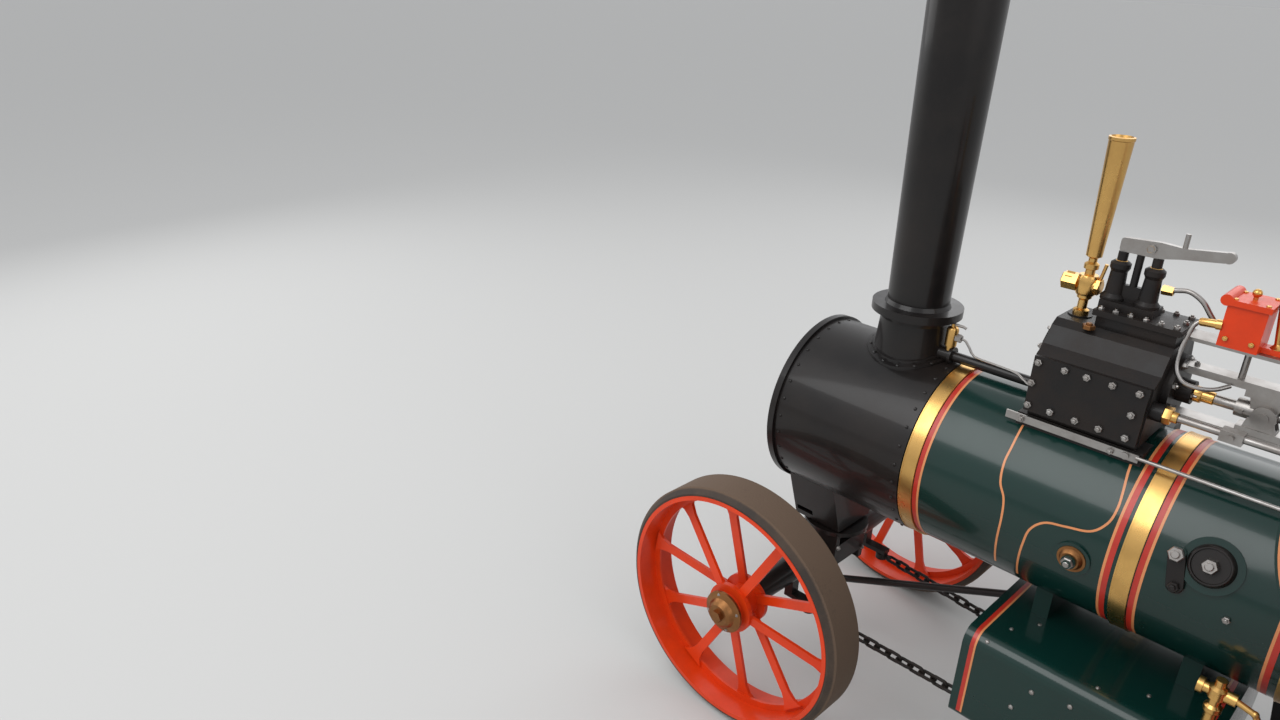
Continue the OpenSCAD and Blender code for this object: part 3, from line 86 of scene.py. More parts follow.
# the engine's right and left, as signs of Y
SIDES = (-1, 1)
# how far a small part reaches into what carries it
OVERLAP = 0.001
# angle in degrees above which the edge of a painted line stays sharp
LINE_SHARP = 50.0


class Paint(Enum):
    """Every finish on the engine. The value is its material's name."""

    GREEN = "green_paint"
    BLACK = "black_paint"
    RED = "red_paint"
    STEEL = "steel"
    BRASS = "brass"
    COPPER = "copper"
    IRON = "cast_iron"
    RUBBER = "rubber"
    BRONZE = "bronze"
    ORANGE_LINE = "orange_line"
    RED_LINE = "red_line"
    DIAL = "dial"
    SOOT = "soot"

    @property
    def slot(self) -> str:
        """The record's material slot that the finish belongs to."""
        return SLOT_OF.get(self, self).value


class Line(Enum):
    """The two colours of lining."""

    ORANGE = "orange"
    RED = "red"

    @property
    def paint(self) -> Paint:
        """The finish of a line of this colour."""
        return Paint(f"{self.value}_line")


class End(Enum):
    """The two ends of the engine."""

    FRONT = "front"
    REAR = "rear"


class Hand(Enum):
    """The two sides of the engine."""

    LEFT = "left"
    RIGHT = "right"

    @property
    def sign(self) -> int:
        """Sign of Y on this side."""
        return 1 if self is Hand.LEFT else -1


# finishes


class NodeGroup:
    """A shader node group that is made once. Each kind fills it in its own way."""

    name = ""
    tree: bpy.types.NodeTree

    def build(self) -> bpy.types.NodeTree:
        """Makes the group the first time it is asked for.

        Returns:
            The group.
        """
        if self.name not in bpy.data.node_groups:
            self.tree = bpy.data.node_groups.new(self.name, "ShaderNodeTree")
            self.fill()
        return bpy.data.node_groups[self.name]

    def fill(self) -> None:
        """Makes the group's sockets and nodes."""
        raise NotImplementedError

    def sockets(self, way: str, kind: str, *labels: str) -> None:
        """Adds sockets to the group.

        Args:
            way: INPUT or OUTPUT.
            kind: Color or Float.
            labels: what the sockets are called.
        """
        for label in labels:
            self.tree.interface.new_socket(label, in_out=way, socket_type=f"NodeSocket{kind}")

    def node(self, kind: str, **values: float) -> bpy.types.Node:
        """Adds a node.

        Args:
            kind: its type.
            values: plain values of its inputs.

        Returns:
            The node.
        """
        node = self.tree.nodes.new(kind)
        for label, value in values.items():
            node.inputs[label].default_value = value
        return node

    def link(self, source: Socket, target: Socket) -> None:
        """Joins an output to an input."""
        self.tree.links.new(source, target)

    def math(self, kind: str, a: Socket, b: Socket) -> Socket:
        """Reckons with two values.

        Args:
            kind: ADD, SUBTRACT, MULTIPLY or DIVIDE.
            a: first value.
            b: second value.

        Returns:
            The result.
        """
        node = self.node("ShaderNodeMath")
        node.operation = kind
        self.link(a, node.inputs[0])
        self.link(b, node.inputs[1])
        return node.outputs[0]

    def ramp(self, value: Socket, start: float, end: float) -> Socket:
        """Turns a value into 0 at start and 1 at end, in a straight line between them.

        Args:
            value: the value.
            start: where the result is 0.
            end: where the result is 1.

        Returns:
            The result.
        """
        node = self.node("ShaderNodeMapRange", **{"From Min": start, "From Max": end})
        self.link(value, node.inputs["Value"])
        return node.outputs["Result"]


class WearGroup(NodeGroup):
    """Lays patchy dirt and worn gloss over a clean colour, by two noises on Object coordinates."""

    name = "patchy_wear"
    patch_detail, patch_roughness = 6.0, 0.65
    grain_scale, grain_detail = 220.0, 3.0
    # noise at which a patch begins, and at which it is full
    patch_from, patch_full = 0.38, 0.72
    # heights above the ground at which dust begins, and at which it is full
    dust_from, dust_full = 0.75, 0.05

    def fill(self) -> None:
        """Makes the nodes. Dirt = patches x amount + low dust + cover, and it also takes the gloss away."""
        self.sockets("INPUT", "Color", "Clean", "Dirt")
        self.sockets("INPUT", "Float", "Dirt amount", "Patch size", "Gloss", "Gloss spread", "Low dust",
                     "Cover")
        self.sockets("OUTPUT", "Color", "Colour")
        self.sockets("OUTPUT", "Float", "Roughness", "Height")
        given, out = self.node("NodeGroupInput").outputs, self.node("NodeGroupOutput").inputs
        place = self.node("ShaderNodeTexCoord").outputs["Object"]
        patches = self.node("ShaderNodeTexNoise", Detail=self.patch_detail, Roughness=self.patch_roughness)
        grain = self.node("ShaderNodeTexNoise", Scale=self.grain_scale, Detail=self.grain_detail)
        self.link(given["Patch size"], patches.inputs["Scale"])
        split = self.node("ShaderNodeSeparateXYZ")
        for reader in (patches, grain, split):
            self.link(place, reader.inputs["Vector"])
        both = self.math("ADD", patches.outputs["Fac"], grain.outputs["Fac"])
        spots = self.ramp(patches.outputs["Fac"], self.patch_from, self.patch_full)
        low = self.ramp(split.outputs["Z"], self.dust_from, self.dust_full)
        dust = self.math("MULTIPLY", self.math("MULTIPLY", low, given["Low dust"]), both)
        dirt = self.math("MULTIPLY", spots, given["Dirt amount"])
        cover = self.math("MULTIPLY", given["Cover"], both)
        amount = self.math("ADD", self.math("ADD", dirt, dust), cover)
        amount.node.use_clamp = True
        mix = self.node("ShaderNodeMix")
        mix.data_type = "RGBA"
        self.link(amount, mix.inputs["Factor"])
        self.link(given["Clean"], mix.inputs["A"])
        self.link(given["Dirt"], mix.inputs["B"])
        rough = self.math("ADD", self.math("MULTIPLY", amount, given["Gloss spread"]), given["Gloss"])
        rough.node.use_clamp = True
        self.link(mix.outputs["Result"], out["Colour"])
        self.link(rough, out["Roughness"])
        self.link(both, out["Height"])


class TreadGroup(NodeGroup):
    """Tells how far a point lies on a wheel's tread, by its distance from the axle."""

    name = "tread_dust"
    # square of the distance as a share of the radius's square, where the side ends and the tread begins
    side_end, tread_start = 0.965, 0.994

    def fill(self) -> None:
        """Makes the nodes. Ratio = (x squared + z squared) / radius squared, from the axle."""
        self.sockets("INPUT", "Float", "Axle X", "Axle Z", "Radius")
        self.sockets("OUTPUT", "Float", "Tread")
        given, out = self.node("NodeGroupInput").outputs, self.node("NodeGroupOutput").inputs
        split = self.node("ShaderNodeSeparateXYZ")
        self.link(self.node("ShaderNodeTexCoord").outputs["Object"], split.inputs["Vector"])
        x = self.math("SUBTRACT", split.outputs["X"], given["Axle X"])
        z = self.math("SUBTRACT", split.outputs["Z"], given["Axle Z"])
        square = self.math("ADD", self.math("MULTIPLY", x, x), self.math("MULTIPLY", z, z))
        ratio = self.math("DIVIDE", square, self.math("MULTIPLY", given["Radius"], given["Radius"]))
        tread = self.ramp(ratio, self.side_end, self.tread_start)
        tread.node.interpolation_type = "SMOOTHSTEP"
        self.link(tread, out["Tread"])


def add_group(tree: bpy.types.NodeTree, group: NodeGroup, values: dict[str, float | tuple]) -> bpy.types.Node:
    """Places a node group in a material.

    Args:
        tree: the material's nodes.
        group: what is placed.
        values: the values of its inputs.

    Returns:
        The group's node.
    """
    node = tree.nodes.new("ShaderNodeGroup")
    node.node_tree = group.build()
    for label, value in values.items():
        node.inputs[label].default_value = value
    return node


@dataclass(frozen=True)
class Finish:
    """One finish: a clean colour, what soils it, and how it reflects."""

    color: Point
    roughness: float
    metallic: float = 0.0
    coat: float = 0.0
    coat_roughness: float = 0.08
    specular: float = 0.5
    dirt: Point = (0.05, 0.04, 0.03)
    dirt_amount: float = 0.25
    # scale of the noise that makes the patches, and the roughness added where dirt lies
    patch: float = 9.0
    spread: float = 0.25
    # amount of dust near the ground
    low_dust: float = 0.0
    # strength of the bumps and their depth in metres
    bump: float = 0.0
    bump_depth: float = 0.0006

    def build(self, name: str) -> bpy.types.Material:
        """Makes the material.

        Args:
            name: what the material is called.

        Returns:
            A Principled material fed by the wear group.
        """
        mat = bpy.data.materials.new(name)
        mat.use_nodes = True
        tree = mat.node_tree
        shader = tree.nodes["Principled BSDF"]
        plain = {"Metallic": self.metallic, "Coat Weight": self.coat, "Coat Roughness": self.coat_roughness,
                 "Specular IOR Level": self.specular}
        for label, value in plain.items():
            shader.inputs[label].default_value = value
        wear = add_group(tree, WearGroup(), {
            "Clean": (*self.color, 1), "Dirt": (*self.dirt, 1), "Dirt amount": self.dirt_amount,
            "Patch size": self.patch, "Gloss": self.roughness, "Gloss spread": self.spread,
            "Low dust": self.low_dust})
        tree.links.new(wear.outputs["Colour"], shader.inputs["Base Color"])
        tree.links.new(wear.outputs["Roughness"], shader.inputs["Roughness"])
        if self.bump:
            bump = tree.nodes.new("ShaderNodeBump")
            bump.inputs["Strength"].default_value = self.bump
            bump.inputs["Distance"].default_value = self.bump_depth
            tree.links.new(wear.outputs["Height"], bump.inputs["Height"])
            tree.links.new(bump.outputs["Normal"], shader.inputs["Normal"])
        return mat


@dataclass(frozen=True)
class TyreFinish:
    """Dark rubber whose tread is dusty."""

    rubber: Finish
    axle_x: float
    axle_z: float
    radius: float

    def build(self, name: str) -> bpy.types.Material:
        """Makes the material.

        Args:
            name: what the material is called.

        Returns:
            The rubber's material with dust laid on its tread.
        """
        mat = self.rubber.build(name)
        tree = mat.node_tree
        wear = next(n for n in tree.nodes if n.type == "GROUP")
        tread = add_group(tree, TreadGroup(),
                          {"Axle X": self.axle_x, "Axle Z": self.axle_z, "Radius": self.radius})
        tree.links.new(tread.outputs["Tread"], wear.inputs["Cover"])
        return mat


FINISHES: dict[Paint, Finish] = {
    Paint.GREEN: Finish((0.003, 0.026, 0.021), 0.20, coat=0.35, specular=0.3, dirt=(0.006, 0.016, 0.013),
                        dirt_amount=0.35, patch=6.0),
    Paint.BLACK: Finish((0.007, 0.006, 0.006), 0.28, coat=0.25, specular=0.25, dirt=(0.018, 0.012, 0.009),
                        dirt_amount=0.5, patch=7.0, spread=0.35, low_dust=0.25, bump=0.15),
    Paint.RED: Finish((0.74, 0.048, 0.004), 0.32, coat=0.12, specular=0.3, dirt=(0.26, 0.020, 0.005),
                      dirt_amount=0.28, patch=12.0, spread=0.3, low_dust=0.1),
    Paint.STEEL: Finish((0.40, 0.385, 0.37), 0.33, metallic=1.0, dirt=(0.14, 0.10, 0.075),
                        dirt_amount=0.4, patch=16.0, spread=0.3),
    Paint.BRASS: Finish((0.76, 0.46, 0.15), 0.25, metallic=1.0, dirt=(0.36, 0.19, 0.06),
                        dirt_amount=0.4, patch=14.0),
    Paint.COPPER: Finish((0.72, 0.33, 0.19), 0.22, metallic=1.0, dirt=(0.30, 0.12, 0.07),
                         dirt_amount=0.4, patch=18.0, spread=0.3),
    Paint.IRON: Finish((0.009, 0.008, 0.008), 0.45, coat=0.1, specular=0.25, dirt=(0.026, 0.016, 0.011),
                       dirt_amount=0.55, patch=12.0, spread=0.35, low_dust=0.2, bump=0.35),
    Paint.RUBBER: Finish((0.022, 0.016, 0.013), 0.75, dirt=(0.115, 0.075, 0.050), dirt_amount=0.45,
                         patch=10.0, spread=0.2, low_dust=0.25, bump=0.6, bump_depth=0.001),
    Paint.BRONZE: Finish((0.31, 0.145, 0.055), 0.34, metallic=1.0, dirt=(0.12, 0.05, 0.02),
                         dirt_amount=0.5, patch=30.0, spread=0.3),
    Paint.ORANGE_LINE: Finish((0.70, 0.26, 0.095), 0.35, coat=0.2, dirt=(0.38, 0.14, 0.05), patch=30.0),
    Paint.RED_LINE: Finish((0.50, 0.022, 0.010), 0.35, coat=0.2, dirt=(0.20, 0.02, 0.01), patch=30.0),
    Paint.DIAL: Finish((0.75, 0.73, 0.68), 0.4, coat=0.3, dirt=(0.5, 0.45, 0.35), dirt_amount=0.2,
                       patch=20.0),
    Paint.SOOT: Finish((0.010, 0.010, 0.010), 0.9, dirt=(0.03, 0.025, 0.02), dirt_amount=0.5, patch=10.0,
                       spread=0.1, bump=0.5),
}
# slot of each finish that isn't a slot of the record itself
SLOT_OF: dict[Paint, Paint] = {
    Paint.BRONZE: Paint.BRASS, Paint.ORANGE_LINE: Paint.RED, Paint.RED_LINE: Paint.RED,
    Paint.DIAL: Paint.STEEL, Paint.SOOT: Paint.IRON}
# nodes whose finish here is finer than their slot's
OWN_FINISH: dict[str, Paint] = {
    "front_cap_left": Paint.BRONZE, "front_cap_right": Paint.BRONZE, "rear_cap_left": Paint.BRONZE,
    "rear_cap_right": Paint.BRONZE, "safety_valves": Paint.IRON, "boiler_fittings": Paint.GREEN}


class Palette:
    """The materials, each made once when it is first asked for."""

    made: dict[Paint, bpy.types.Material] = {}

    @classmethod
    def get(cls, paint: Paint) -> bpy.types.Material:
        """Gives the material of a finish.

        Args:
            paint: the finish.

        Returns:
            Its material.
        """
        if paint not in cls.made:
            cls.made[paint] = FINISHES[paint].build(paint.value)
        return cls.made[paint]


# meshes


def unit(v: np.ndarray) -> np.ndarray:
    """Scales vectors along the last axis to length one."""
    return v / np.maximum(np.linalg.norm(v, axis=-1, keepdims=True), 1e-12)


def upright(normals: np.ndarray) -> tuple[np.ndarray, np.ndarray]:
    """Finds two directions across each normal, by its cross product with X, or with Z where it lies along X.

    Args:
        normals: unit vectors along the last axis.

    Returns:
        The two directions, each as many as the normals.
    """
    helper = np.where(np.abs(normals[..., :1]) > 0.9, np.array(UP), np.array(FORWARD))
    side = unit(np.cross(helper, normals))
    return side, np.cross(normals, side)


def circle(side: np.ndarray, over: np.ndarray, turn: np.ndarray) -> np.ndarray:
    """Unit vectors at angles of turn radians from side towards over."""
    return np.cos(turn)[..., None] * side + np.sin(turn)[..., None] * over


def full_turn(steps: int) -> np.ndarray:
    """Evenly spaced angles of one full turn in radians, without the last one."""
    return np.arange(steps) * 2 * np.pi / steps


@dataclass
class Shape:
    """A mesh under way, gathered from grids of points."""

    verts: list[np.ndarray] = field(default_factory=list)
    faces: list[np.ndarray] = field(default_factory=list)
    count: int = 0

    def add(self, verts: np.ndarray, faces: np.ndarray) -> None:
        """Takes in loose vertices and their faces.

        Args:
            verts: (n, 3) points.
            faces: (m, 3) or (m, 4) numbers of points.
        """
        self.verts.append(verts.reshape(-1, 3))
        self.faces.append(faces + self.count)
        self.count += len(self.verts[-1])

    def grid(self, points: np.ndarray, wrap_u: bool = False, wrap_v: bool = False) -> None:
        """Takes in a surface.

        Args:
            points: (n, m, 3) array of points.
            wrap_u: the last row joins the first.
            wrap_v: the last column joins the first.
        """
        n, m = points.shape[:2]
        rows, columns = np.arange(n if wrap_u else n - 1), np.arange(m if wrap_v else m - 1)
        i, j = np.meshgrid(rows, columns, indexing="ij")
        i2, j2 = (i + 1) % n, (j + 1) % m
        self.add(points, np.stack([i * m + j, i2 * m + j, i2 * m + j2, i * m + j2], -1).reshape(-1, 4))

    def fan(self, ring: np.ndarray) -> None:
        """Closes a ring with triangles round its middle.

        Args:
            ring: (n, 3) points.
        """
        n = len(ring)
        k = np.arange(n)
        self.add(np.vstack([ring, ring.mean(0)]), np.stack([k, (k + 1) % n, np.full(n, n)], -1))

    def revolve(self, profile: ArrayLike, at: ArrayLike, axis: ArrayLike, sides: int) -> None:
        """Turns a profile about an axis.

        Args:
            profile: (n, 2) radius and distance along the axis.
            at: where distance 0 lies.
            axis: direction of the axis.
            sides: number of steps round.
        """
        profile = np.asarray(profile, float)
        way = unit(np.asarray(axis, float))
        ring = circle(*upright(way), full_turn(sides))
        points = np.asarray(at) + profile[None, :, :1] * ring[:, None, :] + profile[None, :, 1:] * way
        self.grid(points, wrap_u=True)

    def tube(self, path: np.ndarray, radius: float, sides: int = 12) -> None:
        """Carries a circle along a path, turning it as little as it can, and closes both ends.

        Args:
            path: (n, 3) points of the middle line.
            radius: of the circle.
            sides: number of steps round.
        """
        along = unit(np.gradient(path, axis=0))
        side = np.empty_like(path)
        side[0] = upright(along[0])[0]
        for k in range(1, len(path)):
            side[k] = unit(side[k - 1] - along[k] * np.dot(side[k - 1], along[k]))
        over = np.cross(along, side)
        rings = path[:, None] + radius * circle(side[:, None], over[:, None], full_turn(sides)[None])
        self.grid(rings, wrap_v=True)
        self.fan(rings[0])
        self.fan(rings[-1])

    def strip(self, path: np.ndarray, normals: ArrayLike, width: float, lift: float = 0.0004,
              sink: float = 0.0008, closed: bool = False) -> None:
        """Lays a flat strip of rectangular section along a path on a surface.

        Args:
            path: (n, 3) points on the surface.
            normals: directions out of the surface, one or as many as the points.
            width: across the strip.
            lift: how far it stands proud.
            sink: how far its underside lies below the surface.
            closed: the strip's end joins its start.
        """
        normals = np.broadcast_to(np.asarray(normals, float), path.shape)
        along = unit(np.roll(path, -1, 0) - np.roll(path, 1, 0) if closed else np.gradient(path, axis=0))
        across = unit(np.cross(normals, along)) * width / 2
        corners = np.stack([path + across + normals * lift, path - across + normals * lift,
                            path - across - normals * sink, path + across - normals * sink], 1)
        self.grid(corners, wrap_u=closed, wrap_v=True)
        if not closed:
            self.fan(corners[0])
            self.fan(corners[-1])

    def box(self, low: Point, high: Point) -> None:
        """Adds a plain block.

        Args:
            low: its lowest corner.
            high: its highest corner.
        """
        low, high = np.array(low, float), np.array(high, float)
        pick = [(0, 0, 0), (1, 0, 0), (1, 1, 0), (0, 1, 0), (0, 0, 1), (1, 0, 1), (1, 1, 1), (0, 1, 1)]
        faces = [(0, 3, 2, 1), (4, 5, 6, 7), (0, 1, 5, 4), (1, 2, 6, 5), (2, 3, 7, 6), (3, 0, 4, 7)]
        self.add(low + np.array(pick) * (high - low), np.array(faces))

    def stamp(self, item: "Shape", places: ArrayLike, normals: ArrayLike, spin: float = 0.0) -> None:
        """Sets a copy of an item, drawn standing on Z = 0, at each place along its normal.

        Args:
            item: the shape to repeat.
            places: (k, 3) feet of the copies.
            normals: (k, 3) or (3,) directions in which they stand.
            spin: turn of each copy about its own axis in radians, times its number.
        """
        places = np.asarray(places, float).reshape(-1, 3)
        normals = unit(np.broadcast_to(np.asarray(normals, float), places.shape))
        side, over = upright(normals)
        turn = spin * np.arange(len(places))
        side, over = circle(side, over, turn), circle(over, -side, turn)
        body = np.vstack(item.verts)
        axes = np.stack([side, over, normals], 1)
        step = np.arange(len(places))[:, None, None] * len(body) + self.count
        self.faces.extend((part[None] + step).reshape(-1, part.shape[1]) for part in item.faces)
        self.verts.append((places[:, None] + body @ axes).reshape(-1, 3))
        self.count += len(self.verts[-1])

    def piece(self, name: str, paint: Paint, body: str = "engine", sharp: float = 32.0) -> bpy.types.Object:
        """Makes the Blender object: doubles merged, faces pointing out, smooth up to an angle.

        Args:
            name: the piece's name.
            paint: its finish.
            body: the CAD body it moves with.
            sharp: angle in degrees above which an edge stays sharp.

        Returns:
            The object.
        """
        mesh = bpy.data.meshes.new(name)
        faces = [face for part in self.faces for face in part.tolist()]
        mesh.from_pydata(np.vstack(self.verts).tolist(), [], faces)
        work = bmesh.new()
        work.from_mesh(mesh)
        bmesh.ops.remove_doubles(work, verts=work.verts, dist=2e-6)
        bmesh.ops.dissolve_degenerate(work, edges=work.edges, dist=1e-6)
        bmesh.ops.recalc_face_normals(work, faces=work.faces)
        work.to_mesh(mesh)
        work.free()
        mesh.shade_smooth()
        mesh.set_sharp_from_angle(angle=math.radians(sharp))
        mesh.materials.append(Palette.get(paint))
        obj = bpy.data.objects.new(name, mesh)
        bpy.context.scene.collection.objects.link(obj)
        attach(obj, body)
        paint.slot
        LOG.info("%s: %d faces on %s", name, len(mesh.polygons), body)
        return obj


def finish_lining(lines: dict[Line, Shape], name: str) -> None:
    """Makes the pieces of a lining in both colours."""
    for line, shape in lines.items():
        shape.piece(f"{name}_{line.value}", line.paint, sharp=LINE_SHARP)


# fasteners, each drawn standing on Z = 0 with a foot just below it


def turned(profile: ArrayLike, sides: int) -> Shape:
    """Turns a profile of radius and height about Z.

    Args:
        profile: (n, 2) radius and height.
        sides: number of steps round.

    Returns:
        The shape.
    """
    shape = Shape()
    shape.revolve(profile, ORIGIN, UP, sides)
    return shape


class Fasteners:
    """Rivets, nuts, screws and oil cups. Their sizes are shares of a radius."""

    foot = -OVERLAP

    @classmethod
    def rivet(cls, r: float) -> Shape:
        """Round snap head, a quarter of a flattened circle turned.

        Args:
            r: its radius.

        Returns:
            The shape.
        """
        a = np.linspace(0, np.pi / 2, 4)
        head = np.stack([r * np.cos(a), 0.72 * r * np.sin(a)], -1)
        return turned(np.vstack([[r, cls.foot], head]), sides=10)

    @classmethod
    def nut(cls, r: float, stud: float = 0.5, tall: float = 0.85) -> Shape:
        """Hexagon nut on a round stud.

        Args:
            r: radius over the nut's corners.
            stud: how far the stud stands out of the nut, as a share of r.
            tall: the nut's height, as a share of r.

        Returns:
            The shape.
        """
        h = tall * r
        end = h + stud * r
        shape = turned([[r, cls.foot], [r, 0.82 * h], [0.86 * r, h], [0, h]], sides=6)
        stud_profile = [[0.52 * r, 0.5 * h], [0.52 * r, end - 0.1 * r], [0.42 * r, end], [0, end]]
        shape.revolve(stud_profile, ORIGIN, UP, sides=10)
        return shape

    @classmethod
    def screw(cls, r: float) -> Shape:
        """Low round head of radius r with a hollow in its middle."""
        return turned([[r, cls.foot], [r, 0.3 * r], [0.8 * r, 0.55 * r], [0.25 * r, 0.6 * r],
                       [0.2 * r, 0.4 * r], [0, 0.4 * r]], sides=12)

    @classmethod
    def oil_cup(cls, r: float) -> Shape:
        """Cup of radius r on a short stem, with a knob on its lid."""
        return turned([[0.5 * r, cls.foot], [0.5 * r, 0.6 * r], [r, 0.7 * r], [r, 2.1 * r],
                       [0.9 * r, 2.3 * r], [0.35 * r, 2.45 * r], [0.35 * r, 2.75 * r], [0, 2.8 * r]],
                      sides=18)


def ball(r: float, steps: int, start: float = -np.pi / 2, middle: float = 0.0) -> np.ndarray:
    """Profile of a ball, half a circle from a start angle up to the top.

    Args:
        r: its radius.
        steps: number of points.
        start: angle below the middle in radians.
        middle: the middle's distance along the axis.

    Returns:
        (steps, 2) radius and distance along the axis.
    """
    a = np.linspace(start, np.pi / 2, steps)
    return np.stack([r * np.cos(a), middle + r * np.sin(a)], -1)


def ring_places(centre: Point, axis: Point, radius: float, count: int, phase: float = 0.0) -> np.ndarray:
    """Places on a circle about an axis.

    Args:
        centre: of the circle.
        axis: its axis.
        radius: of the circle.
        count: number of places.
        phase: angle of the first in degrees.

    Returns:
        (count, 3) points.
    """
    ring = circle(*upright(unit(np.asarray(axis, float))), np.radians(phase) + full_turn(count))
    return np.asarray(centre) + radius * ring


def line_places(a: Point, b: Point, count: int) -> np.ndarray:
    """Evenly spaced places from a to b.

    Args:
        a: first place.
        b: last place.
        count: number of places.

    Returns:
        (count, 3) points.
    """
    t = np.linspace(0, 1, count)[:, None]
    return np.asarray(a) * (1 - t) + np.asarray(b) * t


def smooth(pts: np.ndarray, fine: int = 8) -> np.ndarray:
    """Runs a smooth curve through points: each span is a cubic whose ends head along their neighbours' chord.

    Args:
        pts: (n, 2) or (n, 3) points.
        fine: number of steps in each span.

    Returns:
        The curve's points.
    """
    head = np.gradient(pts, axis=0)
    t = np.linspace(0, 1, fine, endpoint=False)[:, None, None]
    a, b, ga, gb = pts[:-1], pts[1:], head[:-1], head[1:]
    ends = (2 * t**3 - 3 * t**2 + 1) * a + (3 * t**2 - 2 * t**3) * b
    span = ends + (t**3 - 2 * t**2 + t) * ga + (t**3 - t**2) * gb
    return np.vstack([span.transpose(1, 0, 2).reshape(-1, pts.shape[1]), pts[-1:]])


def round_corners(low: Pair, high: Pair, r: float, steps: int = 7) -> np.ndarray:
    """Outline of a rectangle whose corners are arcs.

    Args:
        low: its lowest corner.
        high: its highest corner.
        r: radius of the arcs.
        steps: number of points on each.

    Returns:
        (4 x steps, 2) points.
    """
    pts = np.array([low, (high[0], low[1]), high, (low[0], high[1])])
    before, after = unit(np.roll(pts, 1, 0) - pts), unit(np.roll(pts, -1, 0) - pts)
    middle = pts + (before + after) * r
    t = np.linspace(0, 1, steps)[:, None]
    arcs = unit(-after[:, None] * (1 - t) - before[:, None] * t)
    return (middle[:, None] + r * arcs).reshape(-1, 2)


# the engine's plan


@dataclass
class Plan:
    """The main places of the engine, read from the frame."""

    front_x: float = field(init=False)
    wheel_r: float = field(init=False)
    rear_x: float = field(init=False)
    rear_r: float = field(init=False)
    boiler_z: float = field(init=False)
    barrel_r: float = field(init=False)
    smoke_r: float = field(init=False)
    chimney_x: float = field(init=False)
    door_x: float = field(init=False)
    # how far the smokebox's foot stands out to each side, and how far its front ring lies before the axle
    smoke_flange: float = 0.006
    door_back: float = -0.085

    def __post_init__(self) -> None:
        """Measures the CAD nodes."""
        self.front_x, self.wheel_r = self.span("front_tyre_left", 0)
        self.rear_x, self.rear_r = self.span("rear_tyre_left", 0)
        self.boiler_z, self.barrel_r = self.span("boiler_barrel", 2)
        self.smoke_r = self.span("smokebox", 1)[1] - self.smoke_flange
        self.chimney_x = self.span("chimney_base", 0)[0]
        self.door_x = self.x(self.door_back)

    @staticmethod
    def span(node: str, axis: int) -> Pair:
        """Measures a node along one axis.

        Args:
            node: its name.
            axis: 0, 1 or 2.

        Returns:
            Its middle and half its length.
        """
        low, high = (corner[axis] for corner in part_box(node))
        return (low + high) / 2, (high - low) / 2

    def x(self, back: float | np.ndarray) -> float | np.ndarray:
        """X of a place that lies back metres behind the front axle."""
        return self.front_x - back

    def at(self, *places: Point) -> np.ndarray:
        """Turns places into points.

        Args:
            places: back, to the left and height of each.

        Returns:
            (n, 3) points.
        """
        points = np.array(places)
        points[:, 0] = self.x(points[:, 0])
        return points

    def on_barrel(self, back: float | np.ndarray, z: float | np.ndarray, side: int,
                  r: float | None = None) -> tuple[np.ndarray, np.ndarray]:
        """Finds points on the barrel's side. The angle's sine is the height over the middle / r.

        Args:
            back: distances behind the front axle.
            z: heights above the ground.
            side: 1 is the left, -1 the right.
            r: radius, the barrel's own if none.

        Returns:
            Points and outward normals, (3,) each or (n, 3) each.
        """
        r = self.barrel_r if r is None else r
        back, z = np.broadcast_arrays(np.asarray(back, float), np.asarray(z, float))
        up = np.arcsin(np.clip((z - self.boiler_z) / r, -1, 1))
        normal = np.stack([np.zeros_like(up), side * np.cos(up), np.sin(up)], -1)
        return np.stack([self.x(back), r * normal[..., 1], self.boiler_z + r * normal[..., 2]], -1), normal

    def hoop(self, back: float, r: float, steps: int = 96) -> tuple[np.ndarray, np.ndarray]:
        """Goes once round the boiler.

        Args:
            back: distance behind the front axle.
            r: radius of the hoop.
            steps: number of points.

        Returns:
            Points and outward normals, (steps, 3) each.
        """
        normal = circle(np.array(LEFT), np.array(UP), full_turn(steps))
        return np.array([self.x(back), 0, self.boiler_z]) + r * normal, normal


# dress of each sub-assembly


@dataclass
class Dress:
    """Small parts and lining of one sub-assembly."""

    plan: Plan

    def build(self) -> None:
        """Makes the pieces."""
        raise NotImplementedError


